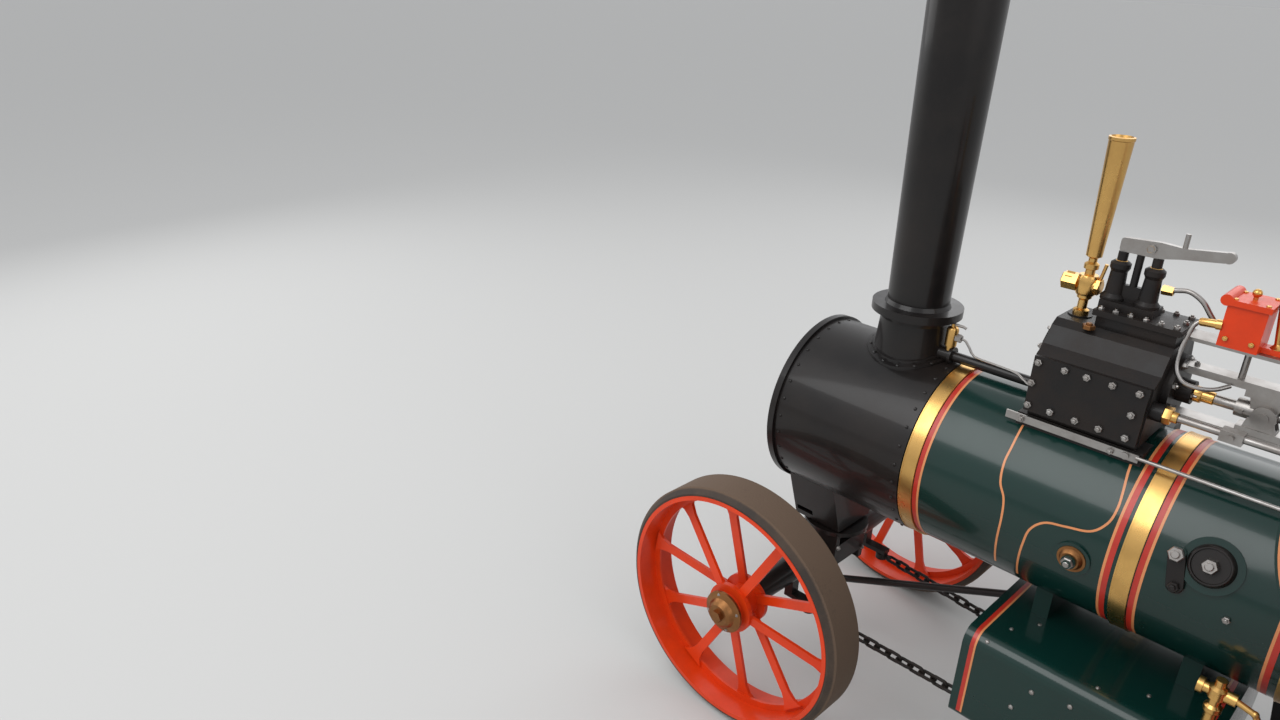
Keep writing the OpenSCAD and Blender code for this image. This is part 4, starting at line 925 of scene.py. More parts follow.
@dataclass
class BoilerDress(Dress):
    """Lining, clips and nuts on the lagged barrel, and stay ends on the firebox."""

    thin_line: float = 0.0038
    # back, width, colour
    hoops: tuple[tuple[float, float, Line], ...] = (
        (0.2592, 0.0085, Line.RED), (0.2656, 0.0042, Line.ORANGE),
        (0.6025, 0.0042, Line.ORANGE), (0.6092, 0.0090, Line.RED),
        (0.6535, 0.0085, Line.RED), (0.6600, 0.0042, Line.ORANGE),
        (0.8455, 0.0042, Line.ORANGE), (0.8519, 0.0085, Line.RED))
    # scrolled lines of the front and the rear panel: back, height
    curves: tuple[Pairs, ...] = (
        ((0.398, 0.768), (0.4005, 0.727), (0.4005, 0.700), (0.407, 0.669), (0.421, 0.645), (0.426, 0.610),
         (0.424, 0.560), (0.420, 0.500)),
        ((0.579, 0.766), (0.583, 0.748), (0.590, 0.722), (0.593, 0.698), (0.588, 0.673), (0.568, 0.651),
         (0.530, 0.642), (0.497, 0.634), (0.477, 0.612), (0.470, 0.578), (0.464, 0.530), (0.460, 0.490)))
    # brass bands: back of their middles, and the beads along their edges
    bands: tuple[float, ...] = (0.2400, 0.6340, 0.8810)
    band_half: float = 0.0125
    band_t: float = 0.003
    bead_width: float = 0.0022
    bead_lift: float = 0.0007
    # the two ears under each band: half length, off the middle, thickness, how far down; their nut
    ear_half: float = 0.012
    ear_y: float = 0.004
    ear_t: float = 0.003
    ear_drop: float = 0.013
    ear_nut: float = 0.005
    ear_nut_drop: float = 0.008
    # back, height, corner radius, foot above the lagging, height of the nut
    bright_nuts: tuple[tuple[float, ...], ...] = (
        (0.742, 0.673, 0.0125, 0.009, 0.015), (0.695, 0.671, 0.0125, 0.0085, 0.012),
        (0.783, 0.604, 0.0060, 0.0, 0.005), (0.553, 0.593, 0.0110, 0.012, 0.011))
    # caps of the hand-hole's door and of the plug: back, height, radii and heights above the lagging
    door_cap: tuple[float, float, Pairs] = (0.742, 0.673, (
        (0.0335, 0.003), (0.0305, 0.0125), (0.0290, 0.0140), (0.0270, 0.0140), (0.0260, 0.0105),
        (0.010, 0.0105)))
    plug_cap: tuple[float, float, Pairs] = (0.553, 0.593, (
        (0.0240, 0.0028), (0.0235, 0.0048), (0.0195, 0.0052), (0.0160, 0.0120), (0.0150, 0.0128),
        (0.008, 0.0128)))
    # long boss of the wash-out plug: ends as back and height, radius, lifts with their shares of the outline
    boss_ends: tuple[Pair, Pair] = ((0.695, 0.671), (0.706, 0.625))
    boss_r: float = 0.013
    boss_steps: Pairs = ((-0.004, 1.0), (0.007, 1.0), (0.0085, 0.94))
    boss_nut: float = 0.0085
    boss_nut_foot: float = 0.008
    # stay ends: from the firebox's rear, heights, number each way, radius
    stay_run: Pair = (0.045, 0.255)
    stay_rise: Pair = (0.345, 0.565)
    stay_count: int = 6
    stay_r: float = 0.0045
    # X and Z of the steering's bracket on the hornplate, and the room it needs
    bracket: Pair = (-0.205, 0.415)
    bracket_room: float = 0.035

    def build(self) -> None:
        """Dresses the boiler."""
        self.lining()
        self.band_clips()
        self.fittings()
        self.stays()

    def lining(self) -> None:
        """Lays the hoops and the scrolled panel lines on both sides."""
        lines = {line: Shape() for line in Line}
        for back, width, line in self.hoops:
            lines[line].strip(*self.plan.hoop(back, self.plan.barrel_r), width, closed=True)
        for curve in self.curves:
            pts = smooth(np.array(curve))
            for side in SIDES:
                lines[Line.ORANGE].strip(*self.plan.on_barrel(pts[:, 0], pts[:, 1], side), self.thin_line)
        finish_lining(lines, "barrel_lining")

    def band_clips(self) -> None:
        """Closes each brass band underneath with two ears and a nut, and beads its edges."""
        beads, clips = Shape(), Shape()
        for back in self.bands:
            for edge in (-self.band_half, self.band_half):
                path, normal = self.plan.hoop(back + edge, self.plan.barrel_r + self.band_t)
                beads.strip(path, normal, self.bead_width, self.bead_lift, closed=True)
            x, z = self.plan.x(back), self.plan.boiler_z - self.plan.barrel_r
            for s in SIDES:
                y = s * self.ear_y
                clips.box((x - self.ear_half, y - self.ear_t / 2, z - self.ear_drop),
                          (x + self.ear_half, y + self.ear_t / 2, z + OVERLAP))
            place = (x, self.ear_y + self.ear_t / 2, z - self.ear_nut_drop)
            clips.stamp(Fasteners.nut(self.ear_nut), place, LEFT)
        beads.piece("band_beads", Paint.BRASS)
        clips.piece("band_clips", Paint.BRASS)

    def fittings(self) -> None:
        """Puts bright nuts on the wash-out plug and the hand-hole door, and caps and a boss under them."""
        bright, dark, caps = Shape(), Shape(), Shape()
        for side in SIDES:
            for back, z, r, lift, tall in self.bright_nuts:
                place, normal = self.plan.on_barrel(back, z, side)
                bright.stamp(Fasteners.nut(r, stud=0.35, tall=tall / r), place + normal * lift, normal)
            place, normal = self.plan.on_barrel(*self.boss_ends[1], side)
            nut = Fasteners.nut(self.boss_nut, stud=0.35, tall=0.95)
            dark.stamp(nut, place + normal * self.boss_nut_foot, normal)
            self.boss(dark, side)
            for shape, (back, z, profile) in ((dark, self.door_cap), (caps, self.plug_cap)):
                shape.revolve(profile, *self.plan.on_barrel(back, z, side), sides=40)
        bright.piece("fitting_nuts", Paint.STEEL)
        dark.piece("fitting_boss", Paint.BLACK)
        caps.piece("plug_caps", Paint.BRONZE)

    def boss(self, shape: Shape, side: int) -> None:
        """Adds the long boss that carries the wash-out plug and the nut under it.

        Args:
            shape: what it is added to.
            side: 1 is the left, -1 the right.
        """
        (a, na), (b, nb) = (self.plan.on_barrel(*end, side) for end in self.boss_ends)
        normal, along = unit(na + nb), unit(b - a)
        over = np.cross(normal, along)
        turn = full_turn(40)
        reach = np.linalg.norm(b - a) / 2 * np.sign(np.cos(turn))[:, None] * along
        outline = reach + self.boss_r * circle(along, over, turn)
        rings = np.stack([(a + b) / 2 + normal * lift + outline * share for lift, share in self.boss_steps])
        shape.grid(rings, wrap_v=True)
        shape.fan(rings[-1])

    def stays(self) -> None:
        """Rows of stay ends on the hornplates, over the firebox's water legs."""
        stays = Shape()
        rear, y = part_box("firebox")[0][0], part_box("hornplate_left")[1][1]
        xs, zs = np.meshgrid(rear + np.linspace(*self.stay_run, self.stay_count),
                             np.linspace(*self.stay_rise, self.stay_count))
        clear = np.hypot(xs - self.bracket[0], zs - self.bracket[1]) > self.bracket_room
        for side in SIDES:
            places = np.stack([xs[clear], np.full(clear.sum(), side * y), zs[clear]], -1)
            stays.stamp(Fasteners.rivet(self.stay_r), places, (0, side, 0))
        stays.piece("stay_ends", Paint.GREEN)


@dataclass
class SmokeboxDress(Dress):
    """Rivets of the smokebox, its door and the chimney, and the small valve behind the chimney."""

    rivet: float = 0.0036
    # rings of rivets: from the smokebox's rear and front, and about the door
    rear_inset: float = 0.012
    front_inset: float = 0.052
    ring_count: int = 30
    door_ring: float = 0.168
    door_count: int = 26
    # rivets on the chimney's bent foot: ring about the chimney, and how far the foot stands off the smokebox
    foot_ring: float = 0.0815
    foot_t: float = 0.005
    foot_count: int = 16
    # rivets up the chimney's seam: heights, number, radius, angle in degrees from the front
    seam_z: Pair = (0.915, 1.475)
    seam_count: int = 22
    seam_rivet: float = 0.0026
    seam_angle: float = -35.0
    # chimney's taper: start over its bottom, radius there, and how far it widens
    chimney_start: float = 0.016
    chimney_r: float = 0.060
    chimney_flare: float = 0.010
    # small valve: its foot as X, Y and Z, its profile; from the foot, its nut's place and its outlet's points
    valve: Point = (0.5985, 0.008, 0.813)
    valve_profile: Pairs = ((0.0085, -0.004), (0.0085, 0.006), (0.0115, 0.007), (0.0115, 0.040),
                            (0.0095, 0.044), (0.005, 0.046), (0.005, 0.052), (0, 0.052))
    valve_nut: tuple[float, Point] = (0.0085, (-0.0105, 0, 0.026))
    outlet: Points = ((0.003, 0, 0.050), (-0.020, 0, 0.051), (-0.026, 0, 0.049))
    outlet_r: float = 0.003
    # thin pipe from the valve to the cylinder: back, to the left, height
    blower: Points = (
        (0.216, 0.008, 0.839), (0.226, 0.008, 0.838), (0.236, 0.008, 0.828), (0.246, 0.009, 0.8165),
        (0.262, 0.010, 0.8122), (0.330, 0.014, 0.8105), (0.352, 0.018, 0.8035), (0.370, 0.021, 0.797),
        (0.396, 0.022, 0.795))
    blower_r: float = 0.0024
    # hinge straps: before the door's ring, above and below the middle, rivets to the side; radius
    strap_lift: float = 0.024
    strap_z: float = 0.050
    strap_y: tuple[float, ...] = (-0.110, -0.065, -0.020, 0.025)
    strap_rivet: float = 0.0042
    # balls on the two door handles: from the door ring's middle; radius
    handle_ends: tuple[Point, Point] = ((0.048, 0.055, -0.045), (0.057, -0.020, -0.068))
    handle_ball: float = 0.0085

    def build(self) -> None:
        """Dresses the smokebox and the chimney."""
        self.rivets()
        self.chimney()
        self.exhaust_valve()
        self.door()

    def rivets(self) -> None:
        """Rivets round both ends of the smokebox and round the door ring."""
        shape = Shape()
        low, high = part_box("smokebox")
        z = self.plan.boiler_z
        for x in (low[0] + self.rear_inset, high[0] - self.front_inset):
            places = ring_places((x, 0, z), FORWARD, self.plan.smoke_r, self.ring_count, phase=6)
            shape.stamp(Fasteners.rivet(self.rivet), places, places - np.array([x, 0, z]))
        places = ring_places((self.plan.door_x, 0, z), FORWARD, self.door_ring, self.door_count, phase=5)
        shape.stamp(Fasteners.rivet(self.rivet), places, FORWARD)
        shape.piece("smokebox_rivets", Paint.BLACK)

    def chimney(self) -> None:
        """Rivets on the chimney's bent foot, where it lies on the smokebox's circle, and up its seam."""
        shape = Shape()
        x = self.plan.chimney_x
        places = ring_places((x, 0, 0), UP, self.foot_ring, self.foot_count, phase=11.25)
        rise = np.sqrt((self.plan.smoke_r + self.foot_t) ** 2 - places[:, 1] ** 2)
        places[:, 2] = self.plan.boiler_z + rise
        normals = np.stack([np.zeros(self.foot_count), places[:, 1], rise], -1)
        shape.stamp(Fasteners.rivet(self.rivet), places, normals)
        bottom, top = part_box("chimney")[0][2] + self.chimney_start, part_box("chimney")[1][2]
        z = np.linspace(*self.seam_z, self.seam_count)
        r = self.chimney_r + (z - bottom) / (top - bottom) * self.chimney_flare
        a = math.radians(self.seam_angle)
        normal = np.array([math.cos(a), math.sin(a), 0])
        places = np.stack([x + r * normal[0], r * normal[1], z], -1)
        shape.stamp(Fasteners.rivet(self.seam_rivet), places, normal)
        shape.piece("chimney_rivets", Paint.BLACK)

    def exhaust_valve(self) -> None:
        """Small brass valve on the exhaust's socket behind the chimney, and its thin pipe."""
        brass, steel = Shape(), Shape()
        foot = np.array(self.valve)
        brass.revolve(self.valve_profile, foot, UP, sides=24)
        brass.piece("exhaust_valve", Paint.BRASS)
        r, place = self.valve_nut
        steel.stamp(Fasteners.nut(r, stud=0.0, tall=1.2), foot + place, BACKWARD)
        steel.tube(foot + np.array(self.outlet), self.outlet_r, sides=10)
        steel.tube(smooth(self.plan.at(*self.blower)), self.blower_r, sides=10)
        steel.piece("blower_pipe", Paint.STEEL)

    def door(self) -> None:
        """Rivets on the hinge straps and balls on the two handles."""
        bolts, balls = Shape(), Shape()
        middle = np.array([self.plan.door_x, 0, self.plan.boiler_z])
        places = [(self.strap_lift, y, s * self.strap_z) for s in SIDES for y in self.strap_y]
        bolts.stamp(Fasteners.rivet(self.strap_rivet), middle + places, FORWARD)
        bolts.piece("door_strap_bolts", Paint.BLACK, "smokebox_door")
        for end in self.handle_ends:
            balls.revolve(ball(self.handle_ball, steps=9), middle + end, UP, sides=16)
        balls.piece("door_handle_balls", Paint.STEEL, "smokebox_door")


@dataclass
class CylinderDress(Dress):
    """Studs, nuts and small fittings of the cylinder block and what stands on it."""

    # height of the piston rod
    line_z: float = 0.868
    # steam chest's cover: its face, and rows of nuts as height and backs
    chest_y: float = 0.110
    chest_nut: float = 0.0066
    chest_rows: tuple[tuple[float, tuple[float, ...]], ...] = (
        (0.882, (0.406, 0.451, 0.487, 0.528, 0.570)), (0.802, (0.404, 0.443, 0.485, 0.524, 0.566)),
        (0.843, (0.402, 0.566)))
    # end covers: back and the way they face; ring of nuts
    covers: tuple[tuple[float, int], ...] = ((0.383, 1), (0.597, -1))
    cover_ring: float = 0.0500
    cover_count: int = 8
    cover_nut: float = 0.0058
    # piston rod's gland: back of its flange, studs to the side, radius of their nuts, profile of the gland
    gland_back: float = 0.619
    gland_y: float = 0.0145
    gland_nut: float = 0.0042
    gland: Pairs = (
        (0.008, 0.0), (0.0125, 0.0005), (0.0135, 0.002), (0.0135, 0.011), (0.0125, 0.013), (0.0105, 0.0135),
        (0.0105, 0.030), (0.0085, 0.032), (0.0075, 0.032))
    # regulator box's lid: height, side rows from and to, nuts in each, nuts at its ends
    lid_z: float = 0.975
    lid_run: Pair = (0.459, 0.577)
    lid_y: Pair = (0.034, -0.040)
    lid_count: int = 6
    lid_ends: Points = ((0.4565, -0.003, 0.975), (0.5795, -0.003, 0.975))
    lid_nut: float = 0.0052
    # rivets of the saddle: backs from and to, number, above the boiler's middle, saddle's edge, radius
    saddle_run: Pair = (0.398, 0.582)
    saddle_count: int = 8
    saddle_rise: float = 0.1545
    saddle_t: float = 0.0005
    saddle_rivet: float = 0.0032
    # bolts of the drain cocks' strip
    drain_bolts: Points = ((0.396, 0.1041, 0.768), (0.548, 0.1041, 0.768))
    drain_nut: float = 0.0055
    # collars on the safety valves
    collars: Points = ((0.462, 0, 1.0505), (0.516, 0, 1.0505))
    collar_nut: float = 0.0105
    # nuts of the valve lever's pivot, both facing right
    pivots: Points = ((0.503, -0.009, 1.085), (0.503, 0.009, 1.085))
    pivot_nut: float = 0.0062
    # oil box: back and height of its foot, its own height
    box_back: float = 0.662
    box_z: float = 0.966
    box_h: float = 0.076
    # screws from its top's middle, nuts as place and side, union from its foot's middle
    box_screws: Pairs = ((-0.024, -0.026), (-0.024, 0.026), (0.020, -0.026), (0.020, 0.026))
    box_screw: float = 0.0038
    box_nuts: Pairs = ((-0.018, -1), (-0.018, 1), (0.018, -1), (0.018, 1))
    box_nut: float = 0.0045
    box_half: float = 0.030
    box_nut_z: float = 0.014
    box_union: Point = (0.028, -0.012, 0.040)
    union_nut: float = 0.0068
    # knob on its top: radius, its stem's radius, and its middle's height as a share of the radius
    knob_r: float = 0.007
    knob_stem: float = 0.0035
    knob_middle: float = 1.4
    # rod behind the oil box: foot and top, profile of its foot, ball on top and angle where the rod meets it
    rod_foot: Point = (0.710, 0, 0.972)
    rod_top: Point = (0.688, 0, 1.118)
    rod_profile: Pairs = ((0.0120, -0.0075), (0.0120, 0.004), (0.0085, 0.006), (0.0055, 0.010))
    rod_ball: float = 0.0098
    rod_neck: float = -0.97
    # oil pipes: route as back, to the left, height; radius
    feed: Points = (
        (0.6035, 0.026, 0.9945), (0.598, 0.029, 0.988), (0.595, 0.033, 0.974), (0.592, 0.040, 0.948),
        (0.5925, 0.046, 0.926), (0.5985, 0.050, 0.910), (0.6115, 0.050, 0.898), (0.633, 0.045, 0.8945),
        (0.652, 0.034, 0.896), (0.668, 0.018, 0.903))
    feed_r: float = 0.0036
    arch: Points = (
        (0.538, -0.004, 1.022), (0.552, -0.004, 1.0255), (0.5725, -0.003, 1.0285), (0.594, -0.002, 1.0180),
        (0.610, -0.001, 1.000), (0.622, 0.0, 0.9880), (0.636, 0.0, 0.984))
    arch_r: float = 0.0042
    # unions at the pipes' ends, and the way the feed's sleeve points
    sleeve_way: Point = (-1, 0, 0.1)
    feed_sleeve: Pairs = ((0.0036, 0.0), (0.0055, 0.0005), (0.0068, 0.003), (0.0068, 0.024),
                          (0.0082, 0.0245), (0.0082, 0.033))
    arch_union: Pairs = ((0.0045, 0.012), (0.0075, 0.011), (0.0085, 0.0), (0.0085, -0.006))
    # whistle: its valve's middle, hexagon before it, body, and nuts behind it as start, radius, length, sides
    whistle_at: Point = (0.417, 0, 1.001)
    whistle_cap: Pairs = (
        (0.011, 0.0), (0.0160, 0.0012), (0.0160, 0.026), (0.013, 0.028), (0, 0.028))
    whistle_cap_x: float = 0.0135
    whistle_body: Pairs = ((0.0, -0.018), (0.015, -0.0175), (0.017, -0.013), (0.017, 0.013),
                           (0.015, 0.0175), (0, 0.018))
    whistle_nuts: tuple[tuple[float, float, float, int], ...] = (
        (0.002, 0.012, 0.022, 24), (0.0150, 0.0150, 0.008, 6))
    whistle_edge: float = 0.001
    # plug in the block's deck, and the valve rod's gland as back and profile
    deck_plug: Point = (0.4540, 0.058, 0.946)
    plug_nut: float = 0.0105
    valve_rod: Pair = (0.077, 0.848)
    valve_gland: tuple[float, Pairs] = (0.603, (
        (0.006, 0.0), (0.0140, 0.0), (0.0150, 0.001), (0.0150, 0.010), (0.0140, 0.012), (0.006, 0.012)))
    valve_sleeve: tuple[float, Pairs] = (0.614, (
        (0.0084, 0.0), (0.0090, 0.0008), (0.0090, 0.0080), (0.0084, 0.0096)))

    def build(self) -> None:
        """Dresses the cylinder."""
        self.chest()
        self.cylinder_nuts()
        self.saddle()
        self.drain()
        self.safety_valves()
        self.lubricator()
        self.pipes()
        self.whistle()
        self.deck()

    def chest(self) -> None:
        """Nuts of the steam chest's cover, in two rows and at its ends."""
        shape = Shape()
        for z, backs in self.chest_rows:
            places = self.plan.at(*((back, self.chest_y, z) for back in backs))
            shape.stamp(Fasteners.nut(self.chest_nut), places, LEFT, spin=0.5)
        shape.piece("chest_nuts", Paint.STEEL)

    def cylinder_nuts(self) -> None:
        """Nuts on the cylinder's end covers, the gland and the regulator box's lid."""
        shape = Shape()
        for back, way in self.covers:
            middle = (self.plan.x(back), 0, self.line_z)
            places = ring_places(middle, FORWARD, self.cover_ring, self.cover_count, phase=22.5)
            shape.stamp(Fasteners.nut(self.cover_nut), places, (way, 0, 0), spin=0.4)
        places = self.plan.at(*((self.gland_back, s * self.gland_y, self.line_z) for s in SIDES))
        shape.stamp(Fasteners.nut(self.gland_nut, stud=1.2), places, BACKWARD)
        start, end = self.lid_run
        rows = [line_places((start, y, self.lid_z), (end, y, self.lid_z), self.lid_count) for y in self.lid_y]
        places = self.plan.at(*np.vstack([*rows, self.lid_ends]))
        shape.stamp(Fasteners.nut(self.lid_nut), places, UP, spin=0.7)
        shape.piece("cylinder_nuts", Paint.STEEL)

    def saddle(self) -> None:
        """Rivets along the saddle on both sides."""
        shape = Shape()
        back = np.linspace(*self.saddle_run, self.saddle_count)
        for side in SIDES:
            places, normals = self.plan.on_barrel(back, self.plan.boiler_z + self.saddle_rise, side,
                                                  self.plan.barrel_r + self.saddle_t)
            shape.stamp(Fasteners.rivet(self.saddle_rivet), places, normals)
        shape.piece("saddle_rivets", Paint.BLACK)

    def drain(self) -> None:
        """Bolts that carry the strip of the drain cocks."""
        bolts = Shape()
        bolts.stamp(Fasteners.nut(self.drain_nut), self.plan.at(*self.drain_bolts), LEFT, spin=0.6)
        bolts.piece("drain_bolts", Paint.STEEL)

    def safety_valves(self) -> None:
        """Collars of the safety valves, and nuts on the lever's pivot."""
        shape = Shape()
        for place in self.collars:
            shape.stamp(Fasteners.nut(self.collar_nut, stud=0.3, tall=0.5), self.plan.at(place), UP)
        shape.stamp(Fasteners.nut(self.pivot_nut), self.plan.at(*self.pivots), RIGHT)
        shape.piece("valve_nuts", Paint.BRASS)

    def lubricator(self) -> None:
        """Screws, knob and union of the oil box, and the rod behind it."""
        screws, brass = Shape(), Shape()
        foot = np.array([self.plan.x(self.box_back), 0, self.box_z])
        top = foot + np.array([0, 0, self.box_h])
        places = [top + (a, b, 0) for a, b in self.box_screws]
        screws.stamp(Fasteners.screw(self.box_screw), places, UP, spin=0.8)
        places = [foot + (a, s * self.box_half, self.box_nut_z) for a, s in self.box_nuts]
        screws.stamp(Fasteners.nut(self.box_nut), places, [(0, s, 0) for _, s in self.box_nuts], spin=0.5)
        screws.piece("oil_box_screws", Paint.BRASS)
        knob = ball(self.knob_r, steps=7, middle=self.knob_middle * self.knob_r)[1:]
        brass.revolve(np.vstack([[self.knob_stem, 0], knob]), top, UP, sides=20)
        brass.stamp(Fasteners.nut(self.union_nut, stud=0.0, tall=1.0), foot + self.box_union, FORWARD)
        foot, top = self.plan.at(self.rod_foot, self.rod_top)
        head = ball(self.rod_ball, steps=10, start=self.rod_neck, middle=float(np.linalg.norm(top - foot)))
        brass.revolve(np.vstack([self.rod_profile, head]), foot, top - foot, sides=24)
        brass.piece("oil_box_brass", Paint.BRASS)

    def pipes(self) -> None:
        """Oil pipes with their unions, in place of the plain ones."""
        pipes, unions = Shape(), Shape()
        for route, r in ((self.feed, self.feed_r), (self.arch, self.arch_r)):
            pipes.tube(smooth(self.plan.at(*route)), r)
        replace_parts(pipes.piece("oil_pipes_round", Paint.STEEL), "oil_pipes")
        start, arch = self.plan.at(self.feed[0], self.arch[0])
        unions.revolve(self.feed_sleeve, start + (OVERLAP, 0, 0), self.sleeve_way, sides=20)
        unions.revolve(self.arch_union, arch, BACKWARD, sides=6)
        unions.piece("oil_unions", Paint.BRASS)

    def whistle(self) -> None:
        """Hexagons and body of the whistle's valve."""
        brass = Shape()
        middle = self.plan.at(self.whistle_at)[0]
        brass.revolve(self.whistle_cap, middle + (self.whistle_cap_x, 0, 0), FORWARD, sides=6)
        brass.revolve(self.whistle_body, middle, UP, sides=24)
        for start, r, wide, sides in self.whistle_nuts:
            edge = self.whistle_edge
            nut = ((0, 0.0), (0.9 * r, 0.0), (r, edge), (r, wide - edge), (0.9 * r, wide), (0, wide))
            brass.revolve(nut, middle - (start, 0, 0), BACKWARD, sides)
        brass.piece("whistle_unions", Paint.BRASS)

    def deck(self) -> None:
        """Plug in the block's deck below the whistle, and the glands of both rods."""
        brass, plug = Shape(), Shape()
        plug.stamp(Fasteners.nut(self.plug_nut, stud=0.3, tall=0.6), self.plan.at(self.deck_plug), UP)
        for (back, profile), sides in ((self.valve_gland, 6), (self.valve_sleeve, 20)):
            brass.revolve(profile, (self.plan.x(back), *self.valve_rod), BACKWARD, sides)
        brass.revolve(self.gland, (self.plan.x(self.gland_back), 0, self.line_z), BACKWARD, sides=24)
        plug.piece("deck_plug", Paint.BRONZE)
        brass.piece("gland_nuts", Paint.BRASS)


@dataclass
class MotionDress(Dress):
    """Nuts and oil cups of the motion, and the bearings on the hornplates."""

    # crankshaft as back and height, second shaft as X and Z, and the hornplates' outer faces
    crank: Pair = (1.080, 0.868)
    second: Pair = (-0.4689, 0.7112)
    horn_y: float = 0.1882
    # nuts round the bearings of both shafts: radius of the ring, number, how far the flange stands out, size
    rings: Pair = (0.0385, 0.0365)
    ring_count: int = 6
    flange: float = 0.007
    bearing_nut: float = 0.0045
    # oil cups: on the crankshaft's bearing from its middle, and on the slide bars
    bearing_cup: float = 0.0075
    bearing_cup_at: Pair = (0.206, 0.033)
    bar_cup: float = 0.006
    bar_cups: Points = ((0.74, 0, 0.9160), (0.82, 0, 0.9160))
    # big end: crank pin from the shaft, length of the connecting rod, and its bolts from the pin
    pin: Pair = (0.0432, 0.0157)
    rod_length: float = 0.314
    bolt_along: float = 0.020
    bolt_over: float = 0.030
    bolt_y: float = 0.009
    bolt_nut: float = 0.0055
    # nuts at the slide bars' ends: backs, heights and the way they face
    bar_ends: tuple[float, ...] = (0.905, 0.893, 0.612)
    bar_faces: tuple[tuple[float, int], ...] = ((0.916, 1), (0.820, -1))
    bar_nut: float = 0.0048
    # rivets on the motion bracket: two rows as first and last place and number
    bracket_rows: tuple[tuple[Pair, Pair, int], ...] = (
        ((-0.050, 0.914), (0.050, 0.914), 6), ((-0.108, 0.74), (-0.108, 0.82), 4))
    bracket_rivet: float = 0.0040

    def build(self) -> None:
        """Dresses the motion."""
        self.bearings()
        self.rods()
        self.bracket()

    def bearings(self) -> None:
        """Nuts round each bearing's flange, and oil cups on the crankshaft's left one and the slide bars."""
        nuts, cups = Shape(), Shape()
        crank = (self.plan.x(self.crank[0]), self.crank[1])
        for (x, z), r in zip((crank, self.second), self.rings):
            for side in SIDES:
                middle = (x, side * (self.horn_y + self.flange), z)
                places = ring_places(middle, LEFT, r, self.ring_count, phase=15)
                nuts.stamp(Fasteners.nut(self.bearing_nut), places, (0, side, 0), spin=0.3)
        nuts.piece("bearing_nuts", Paint.STEEL)
        y, rise = self.bearing_cup_at
        cups.stamp(Fasteners.oil_cup(self.bearing_cup), (crank[0], y, crank[1] + rise), UP)
        cups.stamp(Fasteners.oil_cup(self.bar_cup), self.plan.at(*self.bar_cups), UP)
        cups.piece("oil_cups", Paint.BRASS)

    def rods(self) -> None:
        """Strap bolts of the big end, set along the rod's slope, and bolts that hold the slide bars."""
        shape, bars = Shape(), Shape()
        forward, rise = self.pin
        pin = np.array([self.plan.x(self.crank[0]) + forward, 0, self.crank[1] + rise])
        slope = math.asin(rise / self.rod_length)
        along = np.array([math.cos(slope), 0, -math.sin(slope)])
        over = np.array([math.sin(slope), 0, math.cos(slope)])
        bolts = [(s, t * self.bolt_y) for s in SIDES for t in SIDES]
        places = [pin + along * self.bolt_along + over * s * self.bolt_over + (0, y, 0) for s, y in bolts]
        shape.stamp(Fasteners.nut(self.bolt_nut), places, [over * s for s, _ in bolts], spin=0.4)
        shape.piece("big_end_nuts", Paint.STEEL)
        for z, way in self.bar_faces:
            places = self.plan.at(*((back, 0, z) for back in self.bar_ends))
            bars.stamp(Fasteners.nut(self.bar_nut), places, (0, 0, way), spin=0.4)
        bars.piece("slide_bar_nuts", Paint.STEEL)

    def bracket(self) -> None:
        """Rivets on the motion bracket's front face."""
        shape = Shape()
        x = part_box("motion_bracket")[1][0]
        for start, end, count in self.bracket_rows:
            places = line_places((x, *start), (x, *end), count)
            shape.stamp(Fasteners.rivet(self.bracket_rivet), places, FORWARD)
        shape.piece("bracket_rivets", Paint.BLACK)


@dataclass
class FlywheelDress(Dress):
    """Turned rim, lining and key of the flywheel."""

    # turned rim: steps round, how far proud at its edges and more in its middle, inset from the faces
    steps: int = 128
    proud: float = 0.0002
    crown: float = 0.0008
    inset: float = 0.002
    # lines on the faces: how far inside the rim, and their width
    lines: Pair = (0.005, 0.0155)
    line_width: float = 0.0028
    # key in the bore: half width, from and to over the middle, and how far in and out of the face
    key_half: float = 0.004
    key_run: Pair = (0.016, 0.024)
    key_reach: Pair = (0.004, 0.010)

    def build(self) -> None:
        """Dresses the flywheel. The rim's radius falls off with the square of the way from its middle."""
        rim, line, key = Shape(), Shape(), Shape()
        x = self.plan.span("flywheel", 0)[0]
        (z, r), (mid, half) = self.plan.span("flywheel", 2), self.plan.span("flywheel", 1)
        y0, y1, edge = mid - half, mid + half, half - self.inset
        across = np.linspace(-1, 1, 7)
        outside = np.stack([r + self.proud + self.crown * (1 - across**2), across * edge], -1)
        profile = np.vstack([[r - OVERLAP, -edge], outside, [r - OVERLAP, edge]])
        rim.revolve(profile, (x, mid, z), LEFT, sides=self.steps)
        rim.piece("flywheel_tread", Paint.STEEL, "flywheel")
        for y, way in ((y1, 1), (y0, -1)):
            for inside in self.lines:
                ring = circle(np.array(FORWARD), np.array(UP), full_turn(self.steps))
                line.strip((x, y, z) + (r - inside) * ring, (0, way, 0), self.line_width, closed=True)
        line.piece("flywheel_lining", Paint.ORANGE_LINE, "flywheel")
        key.box((x - self.key_half, y1 - self.key_reach[0], z + self.key_run[0]),
                (x + self.key_half, y1 + self.key_reach[1], z + self.key_run[1]))
        key.piece("flywheel_key", Paint.STEEL, "flywheel")


